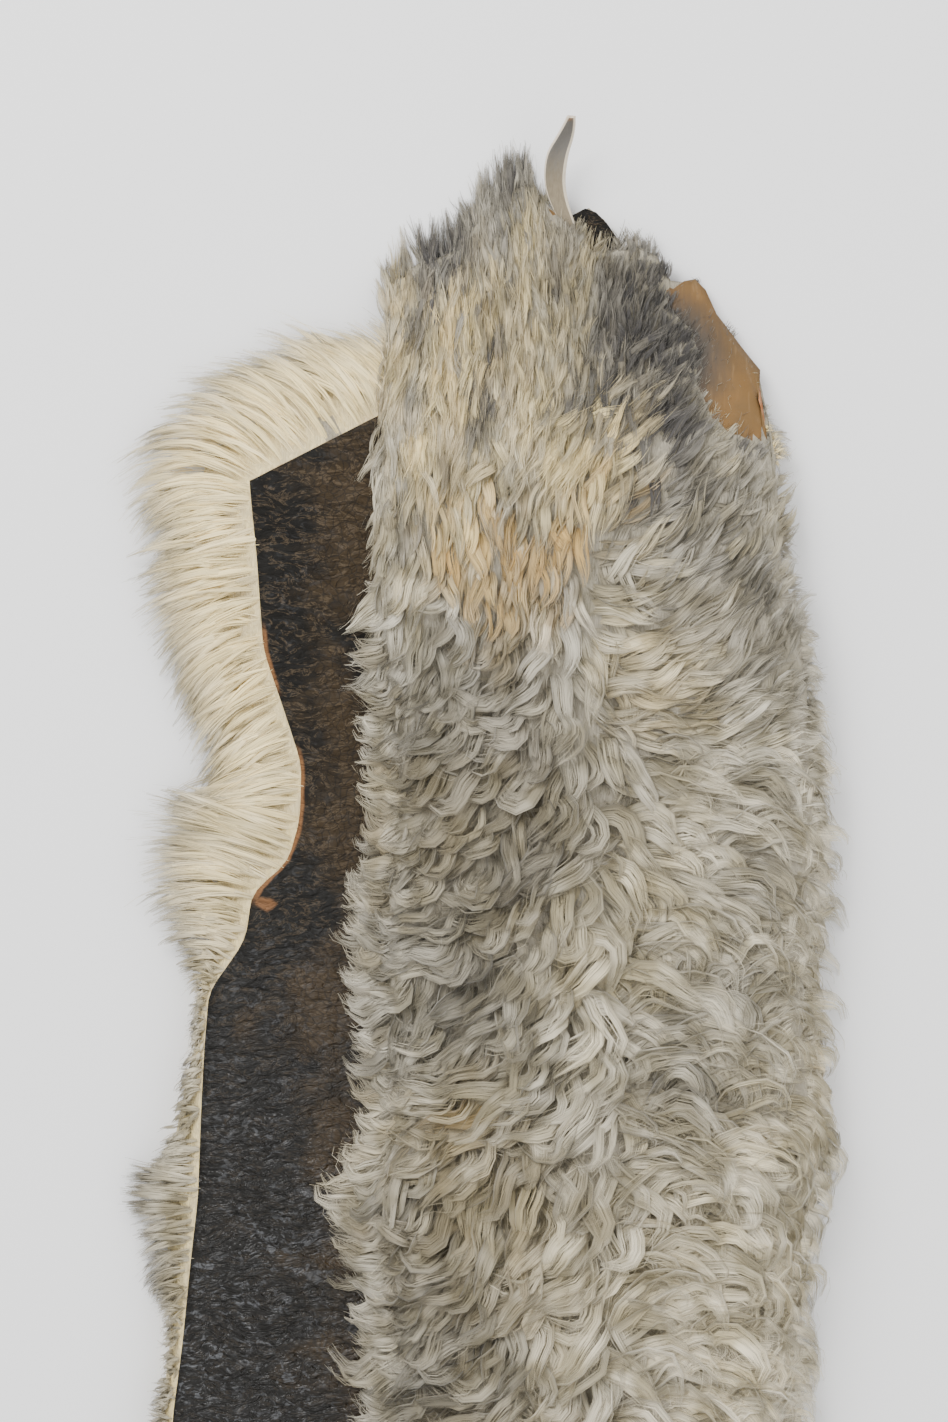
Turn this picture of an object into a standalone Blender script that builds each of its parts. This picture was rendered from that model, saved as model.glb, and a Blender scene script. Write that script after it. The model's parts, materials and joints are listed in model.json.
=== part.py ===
"""A grey curly sheepskin, folded once along its length with the wool outside.

It lies on a flat surface with its leather side showing past the upper layer.
+X runs across the skin towards the fold, +Y along it towards the neck, +Z up.
The origin is on the surface, under the middle of the skin's footprint.
Tables give millimetres: down is the distance below the neck tip, and across
the distance from the outermost wool on the open side.
"""

import math
import random
from collections import namedtuple

import bmesh
import bpy
from mathutils import Vector, noise

MM = 0.001

# The skin's length and width, by which the tables are centred, in metres
LENGTH = 1.1495
WIDTH = 0.455

# The hide, the space between the layers and the fold's inner turn, in metres
HIDE = 0.0024
GAP = 0.003
FOLD_RADIUS = 0.006
FOLD_SETTLES = 0.030

# How finely the skin is divided, in metres and steps
ROW_STEP = 0.0205
COLUMN_STEP = 0.024
FOLD_STEPS = 5

# Waves of the leather and lumps of the wool, in metres
WAVE_HEIGHT = 0.0016
WAVE_LENGTH = 0.11
LUMP_HEIGHT = 0.0085
LUMP_LENGTH = 0.068

# Locks of wool at the rim, in metres
SHORTEST_LOCKED_FRINGE = 0.008
LOCK_LENGTHS = (0.010, 0.023)
LOCK_LEAN = 1.3
LOCK_LEAN_CHANGES = 0.07
LOCK_CLEARANCE = 0.0035
# Each step of a lock as shares of its length, lean, drop and starting width
LockStep = namedtuple("LockStep", "outwards lean drop width")
LOCK_STEPS = (LockStep(0.55, 0.25, 0.55, 0.62), LockStep(1.0, 1.0, 1.0, 0.16))

# The rim's section between the leather's edge and the wool's face, each point
# as a share of the fringe outwards and of the depth towards the wool side
RimPoint = namedtuple("RimPoint", "outwards depth")
LOWER_RIM = (RimPoint(0.45, -0.07), RimPoint(0.90, 0.40), RimPoint(0.93, 0.93))
UPPER_RIM = (RimPoint(0.55, 0.01), RimPoint(1.00, 0.24), RimPoint(0.66, 0.74))

# Edges that run along the skin, from the neck to the tail
Edge = namedtuple("Edge", "down across fringe")
LOWER_EDGE = (
    Edge(226, 91, 60),
    Edge(276, 96, 67),
    Edge(332, 100, 58),
    Edge(373, 114, 50),
    Edge(404, 124, 60),
    Edge(439, 123, 64),
    Edge(467, 115, 62),
    Edge(484, 93, 48),
    Edge(514, 89, 43),
    Edge(536, 74, 22),
    Edge(546, 66, 12),
    Edge(582, 63, 13),
    Edge(620, 61, 25),
    Edge(676, 59, 42),
    Edge(720, 54, 28),
    Edge(770, 49, 16),
    Edge(815, 43, 16),
    Edge(865, 42, 24),
    Edge(925, 46, 32),
    Edge(985, 55, 38),
    Edge(1036, 70, 42),
)
UPPER_EDGE = (
    Edge(109, 188, 20),
    Edge(189, 185, 18),
    Edge(314, 184, 18),
    Edge(389, 191, 17),
    Edge(426, 198, 17),
    Edge(501, 185, 19),
    Edge(551, 188, 18),
    Edge(614, 197, 18),
    Edge(670, 182, 27),
    Edge(732, 191, 18),
    Edge(815, 196, 18),
    Edge(870, 192, 20),
    Edge(930, 188, 22),
    Edge(990, 200, 24),
    Edge(1034, 224, 26),
)
# The fold: where the leather turns, and how far the wool stands past it
FOLD = (
    Edge(212, 418, 13),
    Edge(276, 416, 21),
    Edge(332, 422, 26),
    Edge(404, 426, 27),
    Edge(439, 430, 27),
    Edge(500, 423, 26),
    Edge(544, 421, 26),
    Edge(600, 427, 27),
    Edge(640, 429, 28),
    Edge(690, 417, 27),
    Edge(750, 412, 27),
    Edge(801, 410, 28),
    Edge(860, 414, 28),
    Edge(930, 416, 28),
    Edge(1000, 412, 28),
    Edge(1062, 402, 26),
)

# The fold's neck end at each of its steps, from the lower layer to the upper
FoldEnd = namedtuple("FoldEnd", "down fringe")
FOLD_NECK = (
    FoldEnd(205, 14),
    FoldEnd(212, 14),
    FoldEnd(212, 14),
    FoldEnd(211, 14),
    FoldEnd(209, 8),
    FoldEnd(157, 0),
)

# Cut ends, from the open side to the fold
End = namedtuple("End", "across down fringe")
LOWER_NECK = (
    End(91, 226, 60),
    End(130, 206, 60),
    End(169, 186, 56),
    End(211, 167, 40),
    End(249, 142, 25),
    End(271, 108, 12),
    End(286, 62, 3),
    End(305, 52, 1),
    End(314, 59, 1),
    End(325, 75, 1),
    End(349, 108, 5),
    End(386, 158, 9),
    End(412, 205, 14),
)
UPPER_NECK = (
    End(188, 109, 22),
    End(203, 92, 18),
    End(219, 87, 12),
    End(231, 77, 7),
    End(239, 62, 13),
    End(249, 50, 20),
    End(267, 45, 16),
    End(282, 54, 0),
    End(298, 74, 0),
    End(308, 88, 12),
    End(327, 86, 20),
    End(342, 90, 20),
    End(355, 107, 12),
    End(367, 98, 1),
    End(376, 99, 0),
    End(382, 117, 0),
    End(398, 139, 0),
    End(412, 157, 0),
)
LOWER_TAIL = (
    End(70, 1036, 46),
    End(120, 1057, 44),
    End(170, 1054, 38),
    End(230, 1069, 40),
    End(300, 1092, 44),
    End(360, 1084, 40),
    End(396, 1062, 34),
)
UPPER_TAIL = (
    End(224, 1034, 26),
    End(262, 1060, 30),
    End(310, 1077, 34),
    End(360, 1078, 34),
    End(396, 1062, 34),
)

# Height of the lower leather over the surface, and of the wool over the upper
# leather
Depth = namedtuple("Depth", "down lower upper")
DEPTHS = (
    Depth(0, 9, 10),
    Depth(60, 10, 12),
    Depth(120, 14, 17),
    Depth(200, 20, 23),
    Depth(300, 25, 29),
    Depth(450, 26, 34),
    Depth(700, 26, 38),
    Depth(1000, 26, 36),
    Depth(1100, 23, 28),
)

# Where the upper layer's wool is short enough to show the skin
Bare = namedtuple("Bare", "across down bare_radius full_radius")
BARE_SPOTS = (
    Bare(412, 166, 26, 78),
    Bare(376, 102, 12, 50),
    Bare(290, 52, 14, 48),
)

# Past the lower layer the upper one sinks to the surface over this distance
SINK_LENGTH = 0.055
SUNK_HEIGHT = 0.001

# The tongue of skin at the neck curls up from the upper layer: its middle at
# each step, its width and its thickness, all in millimetres
Tongue = namedtuple("Tongue", "down across rise width thickness")
TONGUE_COLUMNS = (282, 298)
TONGUE = (
    Tongue(46, 286, 3, 15, 5),
    Tongue(32, 284, 9, 14, 4),
    Tongue(18, 285, 17, 13, 3.5),
    Tongue(7, 288, 27, 12, 3),
    Tongue(0, 292, 38, 9, 2.5),
    Tongue(5, 294, 46, 5, 2.2),
)

WOOL_COLOUR = (0.46, 0.43, 0.38, 1.0)
LEATHER_COLOUR = (0.035, 0.030, 0.026, 1.0)
LOWER, FOLDED, UPPER = "lower", "folded", "upper"
Column = namedtuple("Column", "layer share")


def smooth(share):
    share = min(1.0, max(0.0, share))
    return share * share * (3 - 2 * share)


def read(table, key, value, field):
    """The table's field at that value of its key column, between its rows."""
    before = after = table[0]
    for after in table:
        if getattr(after, key) >= value:
            break
        before = after
    low, high = getattr(before, key), getattr(after, key)
    first, last = getattr(before, field), getattr(after, field)
    if high <= low:
        return last
    return first + (last - first) * min(1.0, (value - low) / (high - low))


def refined(values, step):
    """The values with evenly spaced ones put between those over a step apart."""
    out = [values[0]]
    for value in values[1:]:
        parts = max(1, math.ceil(abs(value - out[-1]) * MM / step))
        first = out[-1]
        out += [first + (value - first) * (i + 1) / parts for i in range(parts)]
    return out


def row_shares():
    """How far up each row lies, from 0 at the tail to 1 at the neck."""
    downs = refined([edge.down for edge in reversed(LOWER_EDGE)], ROW_STEP)
    tail, neck = downs[0], downs[-1]
    return [(tail - down) / (tail - neck) for down in downs]


def column_shares(neck):
    """How far each column lies from the fold, from 1 at the open edge to 0."""
    acrosses = refined([end.across for end in neck], COLUMN_STEP)
    span = acrosses[-1] - acrosses[0]
    return [(acrosses[-1] - across) / span for across in acrosses]


def columns():
    """The columns round the skin, from the lower open edge to the upper one."""
    lower = [Column(LOWER, share) for share in column_shares(LOWER_NECK)]
    turn = [Column(FOLDED, i / FOLD_STEPS) for i in range(1, FOLD_STEPS)]
    upper = [Column(UPPER, share) for share in reversed(column_shares(UPPER_NECK))]
    return lower + turn + upper


ROWS = row_shares()
COLUMNS = columns()


def end_value(column, neck, field):
    """A cut end's field where a column meets it."""
    if column.layer == FOLDED:
        if neck:
            return getattr(FOLD_NECK[round(column.share * FOLD_STEPS)], field)
        return getattr(LOWER_TAIL[-1], field)
    if column.layer == LOWER:
        table = LOWER_NECK if neck else LOWER_TAIL
    else:
        table = UPPER_NECK if neck else UPPER_TAIL
    across = table[-1].across - column.share * (table[-1].across - table[0].across)
    return read(table, "across", across, field)


def fold_centre(down):
    return read(FOLD, "down", down, "across") - FOLD_RADIUS / MM


def station(row, column):
    """(across, down) of the leather at a row and column, in millimetres."""
    neck = end_value(column, True, "down")
    tail = end_value(column, False, "down")
    down = tail + ROWS[row] * (neck - tail)
    centre = fold_centre(down)
    if column.layer == FOLDED:
        return centre, down
    edge = LOWER_EDGE if column.layer == LOWER else UPPER_EDGE
    return centre - column.share * (centre - read(edge, "down", down, "across")), down


def place(across, down, height):
    return Vector((across * MM - WIDTH / 2, LENGTH / 2 - down * MM, height))


def wave(across, down):
    spot = place(across, down, 0) / WAVE_LENGTH
    return WAVE_HEIGHT * noise.noise(spot)


def lower_leather(across, down):
    """The leather's height over the surface, the same under both layers."""
    return read(DEPTHS, "down", down, "lower") * MM + wave(across, down)


def wool_cover(across, down):
    """From 0 where the upper skin is bare to 1 under full wool."""
    cover = 1.0
    for spot in BARE_SPOTS:
        away = math.hypot(across - spot.across, down - spot.down)
        cover *= smooth((away - spot.bare_radius) / (spot.full_radius - spot.bare_radius))
    return cover


def upper_leather(across, down):
    """The upper leather's height: over the lower one, or past it the surface."""
    from_fold = (fold_centre(down) - across) * MM
    loop = (2 * FOLD_RADIUS - GAP) * math.exp(-((from_fold / FOLD_SETTLES) ** 2))
    laid = lower_leather(across, down) + GAP + loop
    lower_wool = read(LOWER_NECK, "across", across, "down")
    lower_wool -= read(LOWER_NECK, "across", across, "fringe")
    sunk = smooth((lower_wool - down) * MM / SINK_LENGTH)
    return laid + (SUNK_HEIGHT - laid) * sunk


def turn_angle(column):
    return math.pi * (column.share - 0.5)


def leather_point(row, column):
    across, down = station(row, column)
    if column.layer == LOWER:
        return place(across, down, lower_leather(across, down))
    if column.layer == UPPER:
        return place(across, down, upper_leather(across, down))
    angle = turn_angle(column)
    middle = lower_leather(across, down) + FOLD_RADIUS
    point = place(across, down, middle + FOLD_RADIUS * math.sin(angle))
    point.x += FOLD_RADIUS * math.cos(angle)
    return point


def upper_depth(across, down):
    """Hide and wool over the upper leather's face, with the wool's lumps."""
    spot = place(across, down, 0)
    lump = noise.noise(spot / LUMP_LENGTH) + 0.5 * noise.noise(spot * 2.1 / LUMP_LENGTH)
    wool = read(DEPTHS, "down", down, "upper") * MM + LUMP_HEIGHT * lump
    return HIDE + (wool - HIDE) * wool_cover(across, down)


def wool_point(row, column):
    """The wool's face opposite the leather at a row and column."""
    across, down = station(row, column)
    leather = leather_point(row, column)
    if column.layer == LOWER:
        return Vector((leather.x, leather.y, 0))
    if column.layer == UPPER:
        return leather + Vector((0, 0, upper_depth(across, down)))
    angle = turn_angle(column)
    middle = lower_leather(across, down) + FOLD_RADIUS
    top = middle + FOLD_RADIUS + upper_depth(across, down)
    side = FOLD_RADIUS + read(FOLD, "down", down, "fringe") * MM
    lump = LUMP_HEIGHT * noise.noise(leather * 1.3 / LUMP_LENGTH)
    reach = (side + lump) * math.cos(angle) ** 0.7
    height = middle + math.sin(angle) * (top - middle if angle > 0 else middle)
    return Vector((place(across, down, 0).x + reach, leather.y, height))


def boundary():
    """The rim's (row, column number) pairs in order round the skin."""
    last_row, last_column = len(ROWS) - 1, len(COLUMNS) - 1
    ring = [(row, 0) for row in range(last_row)]
    ring += [(last_row, number) for number in range(last_column)]
    ring += [(row, last_column) for row in range(last_row, 0, -1)]
    return ring + [(0, number) for number in range(last_column, 0, -1)]


def fringe_of(row, number):
    """How far the wool reaches past the leather at a point of the rim."""
    column = COLUMNS[number]
    if row in (0, len(ROWS) - 1):
        return end_value(column, row > 0, "fringe") * MM
    edge = LOWER_EDGE if number == 0 else UPPER_EDGE
    return read(edge, "down", station(row, column)[1], "fringe") * MM


def side_of(row, number):
    """The direction from the leather towards the wool."""
    column = COLUMNS[number]
    if column.layer != FOLDED:
        return Vector((0, 0, 1 if column.layer == UPPER else -1))
    angle = turn_angle(column)
    return Vector((math.cos(angle), 0, math.sin(angle)))


def outward_directions(ring):
    """For each point of the rim, the level direction away from the skin."""
    points = [leather_point(row, COLUMNS[number]) for row, number in ring]
    count = len(ring)
    found = []
    for i, (row, number) in enumerate(ring):
        along = points[(i + 1) % count] - points[i - 1]
        found.append(along.cross(side_of(row, number)).normalized())
    for _ in range(3):
        found = [
            (found[i - 1] + 2 * found[i] + found[(i + 1) % count]).normalized()
            for i in range(count)
        ]
    return dict(zip(ring, found))


def rim_points(row, number, outward):
    """The rim's section at a point, from the leather's edge to the wool."""
    column = COLUMNS[number]
    leather = leather_point(row, column)
    through = wool_point(row, column) - leather
    section = LOWER_RIM if column.layer == LOWER else UPPER_RIM
    fringe = fringe_of(row, number)
    points = []
    for step, point in enumerate(section, 1):
        bare = Vector((0, 0, 0)) + through * step / len(section)
        full = outward * fringe * point.outwards + through * point.depth
        points.append(leather + bare.lerp(full, smooth(fringe / SHORTEST_LOCKED_FRINGE)))
    return points


def add_face(bm, layers, position):
    """A grid of the skin's rows and columns, each point at its position."""
    wide, high = len(COLUMNS) - 1, len(ROWS) - 1
    made = bmesh.ops.create_grid(bm, x_segments=wide, y_segments=high, size=1)["verts"]
    for i, vert in enumerate(made):
        row, number = divmod(i, wide + 1)
        vert[layers["row"]] = row
        vert[layers["column"]] = number
        vert.co = position(row, number)
    return made


def add_rim(bm, layers, leather, outwards):
    """Extrudes the leather's edge round the wool's section. Returns the faces
    made, those of the last step last."""
    edges = [edge for edge in bm.edges if edge.is_boundary and edge.verts[0] in leather]
    faces = []
    for step in range(len(LOWER_RIM)):
        made = bmesh.ops.extrude_edge_only(bm, edges=edges)["geom"]
        faces += [item for item in made if isinstance(item, bmesh.types.BMFace)]
        edges = [item for item in made if isinstance(item, bmesh.types.BMEdge)]
        edges = [edge for edge in edges if edge.is_boundary]
        for vert in {vert for edge in edges for vert in edge.verts}:
            spot = vert[layers["row"]], vert[layers["column"]]
            vert.co = rim_points(*spot, outwards[spot])[step]
    return faces


def grow_tongue(bm, layers, rim):
    """Draws the rim's faces between the tongue's columns out along its curl."""
    last = len(ROWS) - 1
    root = []
    for face in rim:
        acrosses = [
            round(station(last, COLUMNS[vert[layers["column"]]])[0])
            for vert in face.verts
            if vert[layers["row"]] == last and COLUMNS[vert[layers["column"]]].layer == UPPER
        ]
        if len(acrosses) == 4 and {min(acrosses), max(acrosses)} == set(TONGUE_COLUMNS):
            root.append(face)
    corners = {vert for face in root for vert in face.verts}
    start = centre = sum((vert.co for vert in corners), Vector()) / len(corners)
    width = max(v.co.x for v in corners) - min(v.co.x for v in corners)
    thickness = max(v.co.z for v in corners) - min(v.co.z for v in corners)
    up = Vector((0, 0, 1))
    for step in TONGUE:
        made = bmesh.ops.extrude_face_region(bm, geom=root)["geom"]
        bmesh.ops.delete(bm, geom=root, context="FACES_ONLY")
        root = [item for item in made if isinstance(item, bmesh.types.BMFace)]
        new = place(step.across, step.down, start.z + step.rise * MM)
        along = new - centre
        new_up = Vector((0, -along.z, along.y)).normalized()
        for vert in {vert for face in root for vert in face.verts}:
            side = (vert.co.x - centre.x) / width * step.width * MM
            height = (vert.co - centre).dot(up) / thickness * step.thickness * MM
            vert.co = new + Vector((side, 0, 0)) + new_up * height
        centre, up = new, new_up
        width, thickness = step.width * MM, step.thickness * MM


def lock_drop(middle, reach, lower):
    """How far a lock's tip sinks: to the surface, or to the leather below it."""
    if lower:
        return middle.z - LOCK_CLEARANCE
    across, down = (middle.x + WIDTH / 2) / MM, (LENGTH / 2 - middle.y) / MM
    return min(0.9 * reach, middle.z - upper_leather(across, down) - LOCK_CLEARANCE)


def grow_locks(bm, layers, faces):
    """Draws outer faces of the rim out into tapered, leaning, four-sided locks."""
    for root_face in faces:
        spots = [(vert[layers["row"]], vert[layers["column"]]) for vert in root_face.verts]
        if min(fringe_of(*spot) for spot in spots) < SHORTEST_LOCKED_FRINGE:
            continue
        if any(COLUMNS[number].layer == FOLDED for _, number in spots):
            continue
        lower = COLUMNS[spots[0][1]].layer == LOWER
        face = bmesh.ops.extrude_discrete_faces(bm, faces=[root_face])["faces"][0]
        root = face.calc_center_median()
        out = Vector((face.normal.x, face.normal.y, 0)).normalized()
        first_row, first_column = min(spots)
        reach = random.Random(100 * first_row + first_column).uniform(*LOCK_LENGTHS)
        sway = LOCK_LEAN * noise.noise(root / LOCK_LEAN_CHANGES)
        lean = Vector((-out.y, out.x, 0)) * reach * sway
        drop = Vector((0, 0, -lock_drop(root, reach, lower)))
        corners = [vert.co - root for vert in face.verts]
        for step in LOCK_STEPS:
            if step != LOCK_STEPS[0]:
                face = bmesh.ops.extrude_discrete_faces(bm, faces=[face])["faces"][0]
            middle = root + out * reach * step.outwards + lean * step.lean + drop * step.drop
            for vert, corner in zip(face.verts, corners):
                vert.co = middle + corner * step.width
                vert.co.z = max(vert.co.z, 0.0)


def material(name, colour, roughness):
    made = bpy.data.materials.new(name)
    made.use_nodes = True
    shader = made.node_tree.nodes["Principled BSDF"]
    shader.inputs["Base Color"].default_value = colour
    shader.inputs["Roughness"].default_value = roughness
    shader.inputs["Metallic"].default_value = 0.0
    return made


def sheepskin():
    bm = bmesh.new()
    layers = {name: bm.verts.layers.int.new(name) for name in ("row", "column")}
    wool_side = bm.faces.layers.int.new("wool_side")
    ring = boundary()
    outwards = outward_directions(ring)
    leather = set(add_face(bm, layers, lambda row, n: leather_point(row, COLUMNS[n])))
    leather_faces = set(bm.faces)
    rim = add_rim(bm, layers, leather, outwards)

    def wool_face(row, number):
        if (row, number) in outwards:
            return rim_points(row, number, outwards[row, number])[-1]
        return wool_point(row, COLUMNS[number])

    add_face(bm, layers, wool_face)
    for face in bm.faces:
        face[wool_side] = face not in leather_faces
    bmesh.ops.remove_doubles(bm, verts=bm.verts, dist=0.01 * MM)
    bmesh.ops.recalc_face_normals(bm, faces=bm.faces)
    grow_tongue(bm, layers, rim)
    grow_locks(bm, layers, [face for face in rim[-len(ring):] if face.is_valid])
    mesh = bpy.data.meshes.new("sheepskin")
    for face in bm.faces:
        face.material_index = 0 if face[wool_side] else 1
    bm.to_mesh(mesh)
    bm.free()
    skin = bpy.data.objects.new("sheepskin", mesh)
    bpy.context.scene.collection.objects.link(skin)
    mesh.materials.append(material("wool", WOOL_COLOUR, 0.9))
    mesh.materials.append(material("leather", LEATHER_COLOUR, 0.45))
    return skin


def main():
    for item in list(bpy.data.objects):
        bpy.data.objects.remove(item)
    sheepskin()


main()
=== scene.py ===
"""Dresses a folded curly sheepskin: its hide, the fleece under the curls, and
the locks and fringe of wool that show.

Tables give millimetres: down is the distance below the neck tip, and across
the distance from the outermost wool on the open side. All else is in metres.
"""

import json
import math
from collections import namedtuple

import bmesh
import bpy
import numpy as np
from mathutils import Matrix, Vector, noise
from mathutils.bvhtree import BVHTree

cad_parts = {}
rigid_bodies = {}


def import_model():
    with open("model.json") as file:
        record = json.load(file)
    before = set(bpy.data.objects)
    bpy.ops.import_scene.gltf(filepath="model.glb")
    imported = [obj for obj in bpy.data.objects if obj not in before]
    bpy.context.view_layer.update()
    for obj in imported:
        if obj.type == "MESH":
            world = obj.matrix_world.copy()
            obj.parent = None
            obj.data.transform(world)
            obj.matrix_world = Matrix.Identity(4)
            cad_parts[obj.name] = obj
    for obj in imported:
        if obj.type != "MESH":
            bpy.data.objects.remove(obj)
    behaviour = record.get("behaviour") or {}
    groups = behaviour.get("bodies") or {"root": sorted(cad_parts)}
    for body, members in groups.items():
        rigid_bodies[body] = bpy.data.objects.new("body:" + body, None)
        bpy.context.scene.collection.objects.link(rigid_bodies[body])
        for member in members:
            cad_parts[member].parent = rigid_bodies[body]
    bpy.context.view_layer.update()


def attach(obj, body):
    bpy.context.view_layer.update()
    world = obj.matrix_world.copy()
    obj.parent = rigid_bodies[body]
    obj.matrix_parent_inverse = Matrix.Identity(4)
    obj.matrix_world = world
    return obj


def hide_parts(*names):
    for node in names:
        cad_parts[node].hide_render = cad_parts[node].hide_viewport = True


bl_info = {
    "name": "Folded Sheepskin",
    "version": (1, 0, 0),
    "blender": (4, 5, 0),
    "location": "3D View > Sidebar > Sheepskin",
    "description": "Makes a folded curly sheepskin with its hide, fleece and locks",
    "category": "Object",
}

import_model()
BODY = "root"
NODE = "sheepskin"

MM = 0.001
LENGTH = 1.1495
WIDTH = 0.455
GAP = 0.003
FOLD_RADIUS = 0.006
FOLD_SETTLES = 0.030
WAVE_HEIGHT = 0.0016
WAVE_LENGTH = 0.11
LUMP_HEIGHT = 0.0085
LUMP_LENGTH = 0.068
SINK_LENGTH = 0.055
SUNK_HEIGHT = 0.001
LOWER, FOLDED, UPPER = 0, 1, 2
UP_DIRECTION = np.array([0.0, 0.0, 1.0])

# Steps round the fold in the hide's grid and in the fleece's
HIDE_TURNS = 14
FLEECE_TURNS = 8
# The least height of a lock's middle and of its hairs over the surface
LOWEST_PATH = 0.0012
LOWEST_HAIR = 0.0006
# How far the fleece's inner side stands off the hide
FLEECE_OFFSET = 0.0008
# Where the fringe is under this, the fleece's rim closes towards the leather
THIN_FRINGE = 0.008
# Nearer the neck than this, in millimetres down, a lock lies as one comb does
ONE_COMB_DOWN = 285
# The most that a lock's middle climbs, as a share of its step
STEEPEST_RISE = 0.7
# The view from above: its size in points, millimetres a point, where its first
# corner lies across and down, and the height that it is framed at, in metres
VIEW_WIDTH, VIEW_HEIGHT, VIEW_SCALE = 948, 1422, 0.625
VIEW_ACROSS, VIEW_DOWN, VIEW_MIDDLE = -63.75, -73.75, 0.045
LENS = 130.0


def rows_of(kind, *rows):
    """A table of that kind, with each row's values in the order of its fields."""
    return tuple(kind(*row) for row in rows)


# Edges that run along the skin, from the neck to the tail
Edge = namedtuple("Edge", "down across fringe")
LOWER_EDGE = rows_of(
    Edge,
    (226, 91, 60), (276, 96, 67), (332, 100, 58), (373, 114, 58), (404, 124, 70), (439, 123, 68),
    (467, 115, 62), (484, 93, 48), (514, 89, 43), (536, 74, 22), (546, 66, 12), (582, 63, 13),
    (620, 61, 25), (676, 59, 42), (720, 54, 28), (770, 49, 16), (815, 43, 16), (865, 42, 24),
    (925, 46, 32), (985, 55, 38), (1036, 70, 42),
)
UPPER_EDGE = rows_of(
    Edge,
    (109, 188, 20), (189, 185, 18), (314, 184, 18), (389, 191, 17), (426, 198, 17), (501, 185, 19),
    (551, 188, 18), (614, 197, 18), (670, 182, 27), (732, 191, 18), (815, 196, 18), (870, 192, 20),
    (930, 188, 22), (990, 200, 24), (1034, 224, 26),
)
FOLD = rows_of(
    Edge,
    (212, 418, 13), (276, 416, 21), (332, 422, 26), (404, 426, 27), (439, 430, 27), (500, 423, 26),
    (544, 421, 26), (600, 427, 27), (640, 429, 28), (690, 417, 27), (750, 412, 27), (801, 410, 28),
    (860, 414, 28), (930, 416, 28), (1000, 412, 28), (1062, 402, 26),
)

# Cut ends, from the open side to the fold
End = namedtuple("End", "across down fringe")
LOWER_NECK = rows_of(
    End,
    (91, 226, 60), (130, 206, 60), (169, 186, 56), (211, 167, 40), (249, 142, 25), (271, 108, 12),
    (286, 62, 3), (305, 52, 1), (314, 59, 1), (325, 75, 1), (349, 108, 5), (386, 158, 9),
    (412, 205, 14),
)
UPPER_NECK = rows_of(
    End,
    (188, 109, 22), (203, 92, 18), (219, 87, 12), (231, 77, 7), (239, 62, 13), (249, 50, 20),
    (267, 45, 16), (282, 54, 0), (298, 74, 0), (308, 88, 12), (327, 86, 20), (342, 90, 20),
    (355, 107, 12), (367, 98, 1), (376, 99, 0), (382, 117, 0), (398, 139, 0), (412, 157, 0),
)
LOWER_TAIL = rows_of(
    End,
    (70, 1036, 46), (120, 1057, 44), (170, 1054, 38), (230, 1069, 40), (300, 1092, 44), (360, 1084, 40),
    (396, 1062, 34),
)
UPPER_TAIL = rows_of(
    End,
    (224, 1034, 26), (262, 1060, 30), (310, 1077, 34), (360, 1078, 34), (396, 1062, 34),
)
# The fold's ends, from the lower layer's side, 0, to the upper layer's, 1
Turn = namedtuple("Turn", "share down fringe")
FOLD_NECK = rows_of(
    Turn,
    (0.0, 205, 14), (0.2, 212, 14), (0.4, 212, 14), (0.6, 211, 14), (0.8, 209, 8), (1.0, 157, 0),
)
FOLD_TAIL = rows_of(Turn, (0.0, 1062, 34), (1.0, 1062, 34))

# Height of the lower leather over the surface, and of the wool over the upper
Depth = namedtuple("Depth", "down lower upper")
DEPTHS = rows_of(
    Depth,
    (0, 9, 10), (60, 10, 12), (120, 14, 17), (200, 20, 23), (300, 25, 29), (450, 26, 34), (700, 26, 38),
    (1000, 26, 36), (1100, 23, 28),
)

# The lower leather's main creases: both ends, as across and down, and a height
CREASES = (
    ((127, 338), (172, 330), 0.9),
    ((126, 372), (170, 352), 0.8),
    ((130, 440), (175, 372), 1.1),
    ((130, 448), (178, 420), 1.0),
    ((128, 452), (168, 470), 0.9),
    ((122, 462), (160, 505), 0.8),
    ((102, 255), (150, 246), 0.5),
    ((100, 512), (172, 530), 1.0),
    ((84, 560), (150, 548), 1.2),
    ((76, 610), (165, 592), 1.3),
    ((72, 668), (150, 676), 1.2),
    ((66, 722), (168, 706), 1.3),
    ((62, 780), (160, 788), 1.2),
)

# Where the upper layer's wool is short enough to show the skin
Bare = namedtuple("Bare", "across down bare_radius full_radius")
BARE_SPOTS = rows_of(
    Bare,
    (412, 166, 26, 78), (376, 102, 12, 50), (290, 52, 3, 22),
)

# The tongue of skin that curls up at the neck: its middle at each step, its
# rise over its root, and its width
Tongue = namedtuple("Tongue", "down across rise width")
TONGUE_HEIGHT = 12.5
TONGUE = rows_of(
    Tongue,
    (80, 297, 0, 3), (66, 292.5, 0.5, 8), (50, 286, 2, 10.5), (36, 283.5, 8, 12), (21, 284.5, 17, 12.5),
    (11, 289.5, 26, 9), (4, 293, 37, 5), (1, 293.5, 44, 2.5),
)

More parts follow.
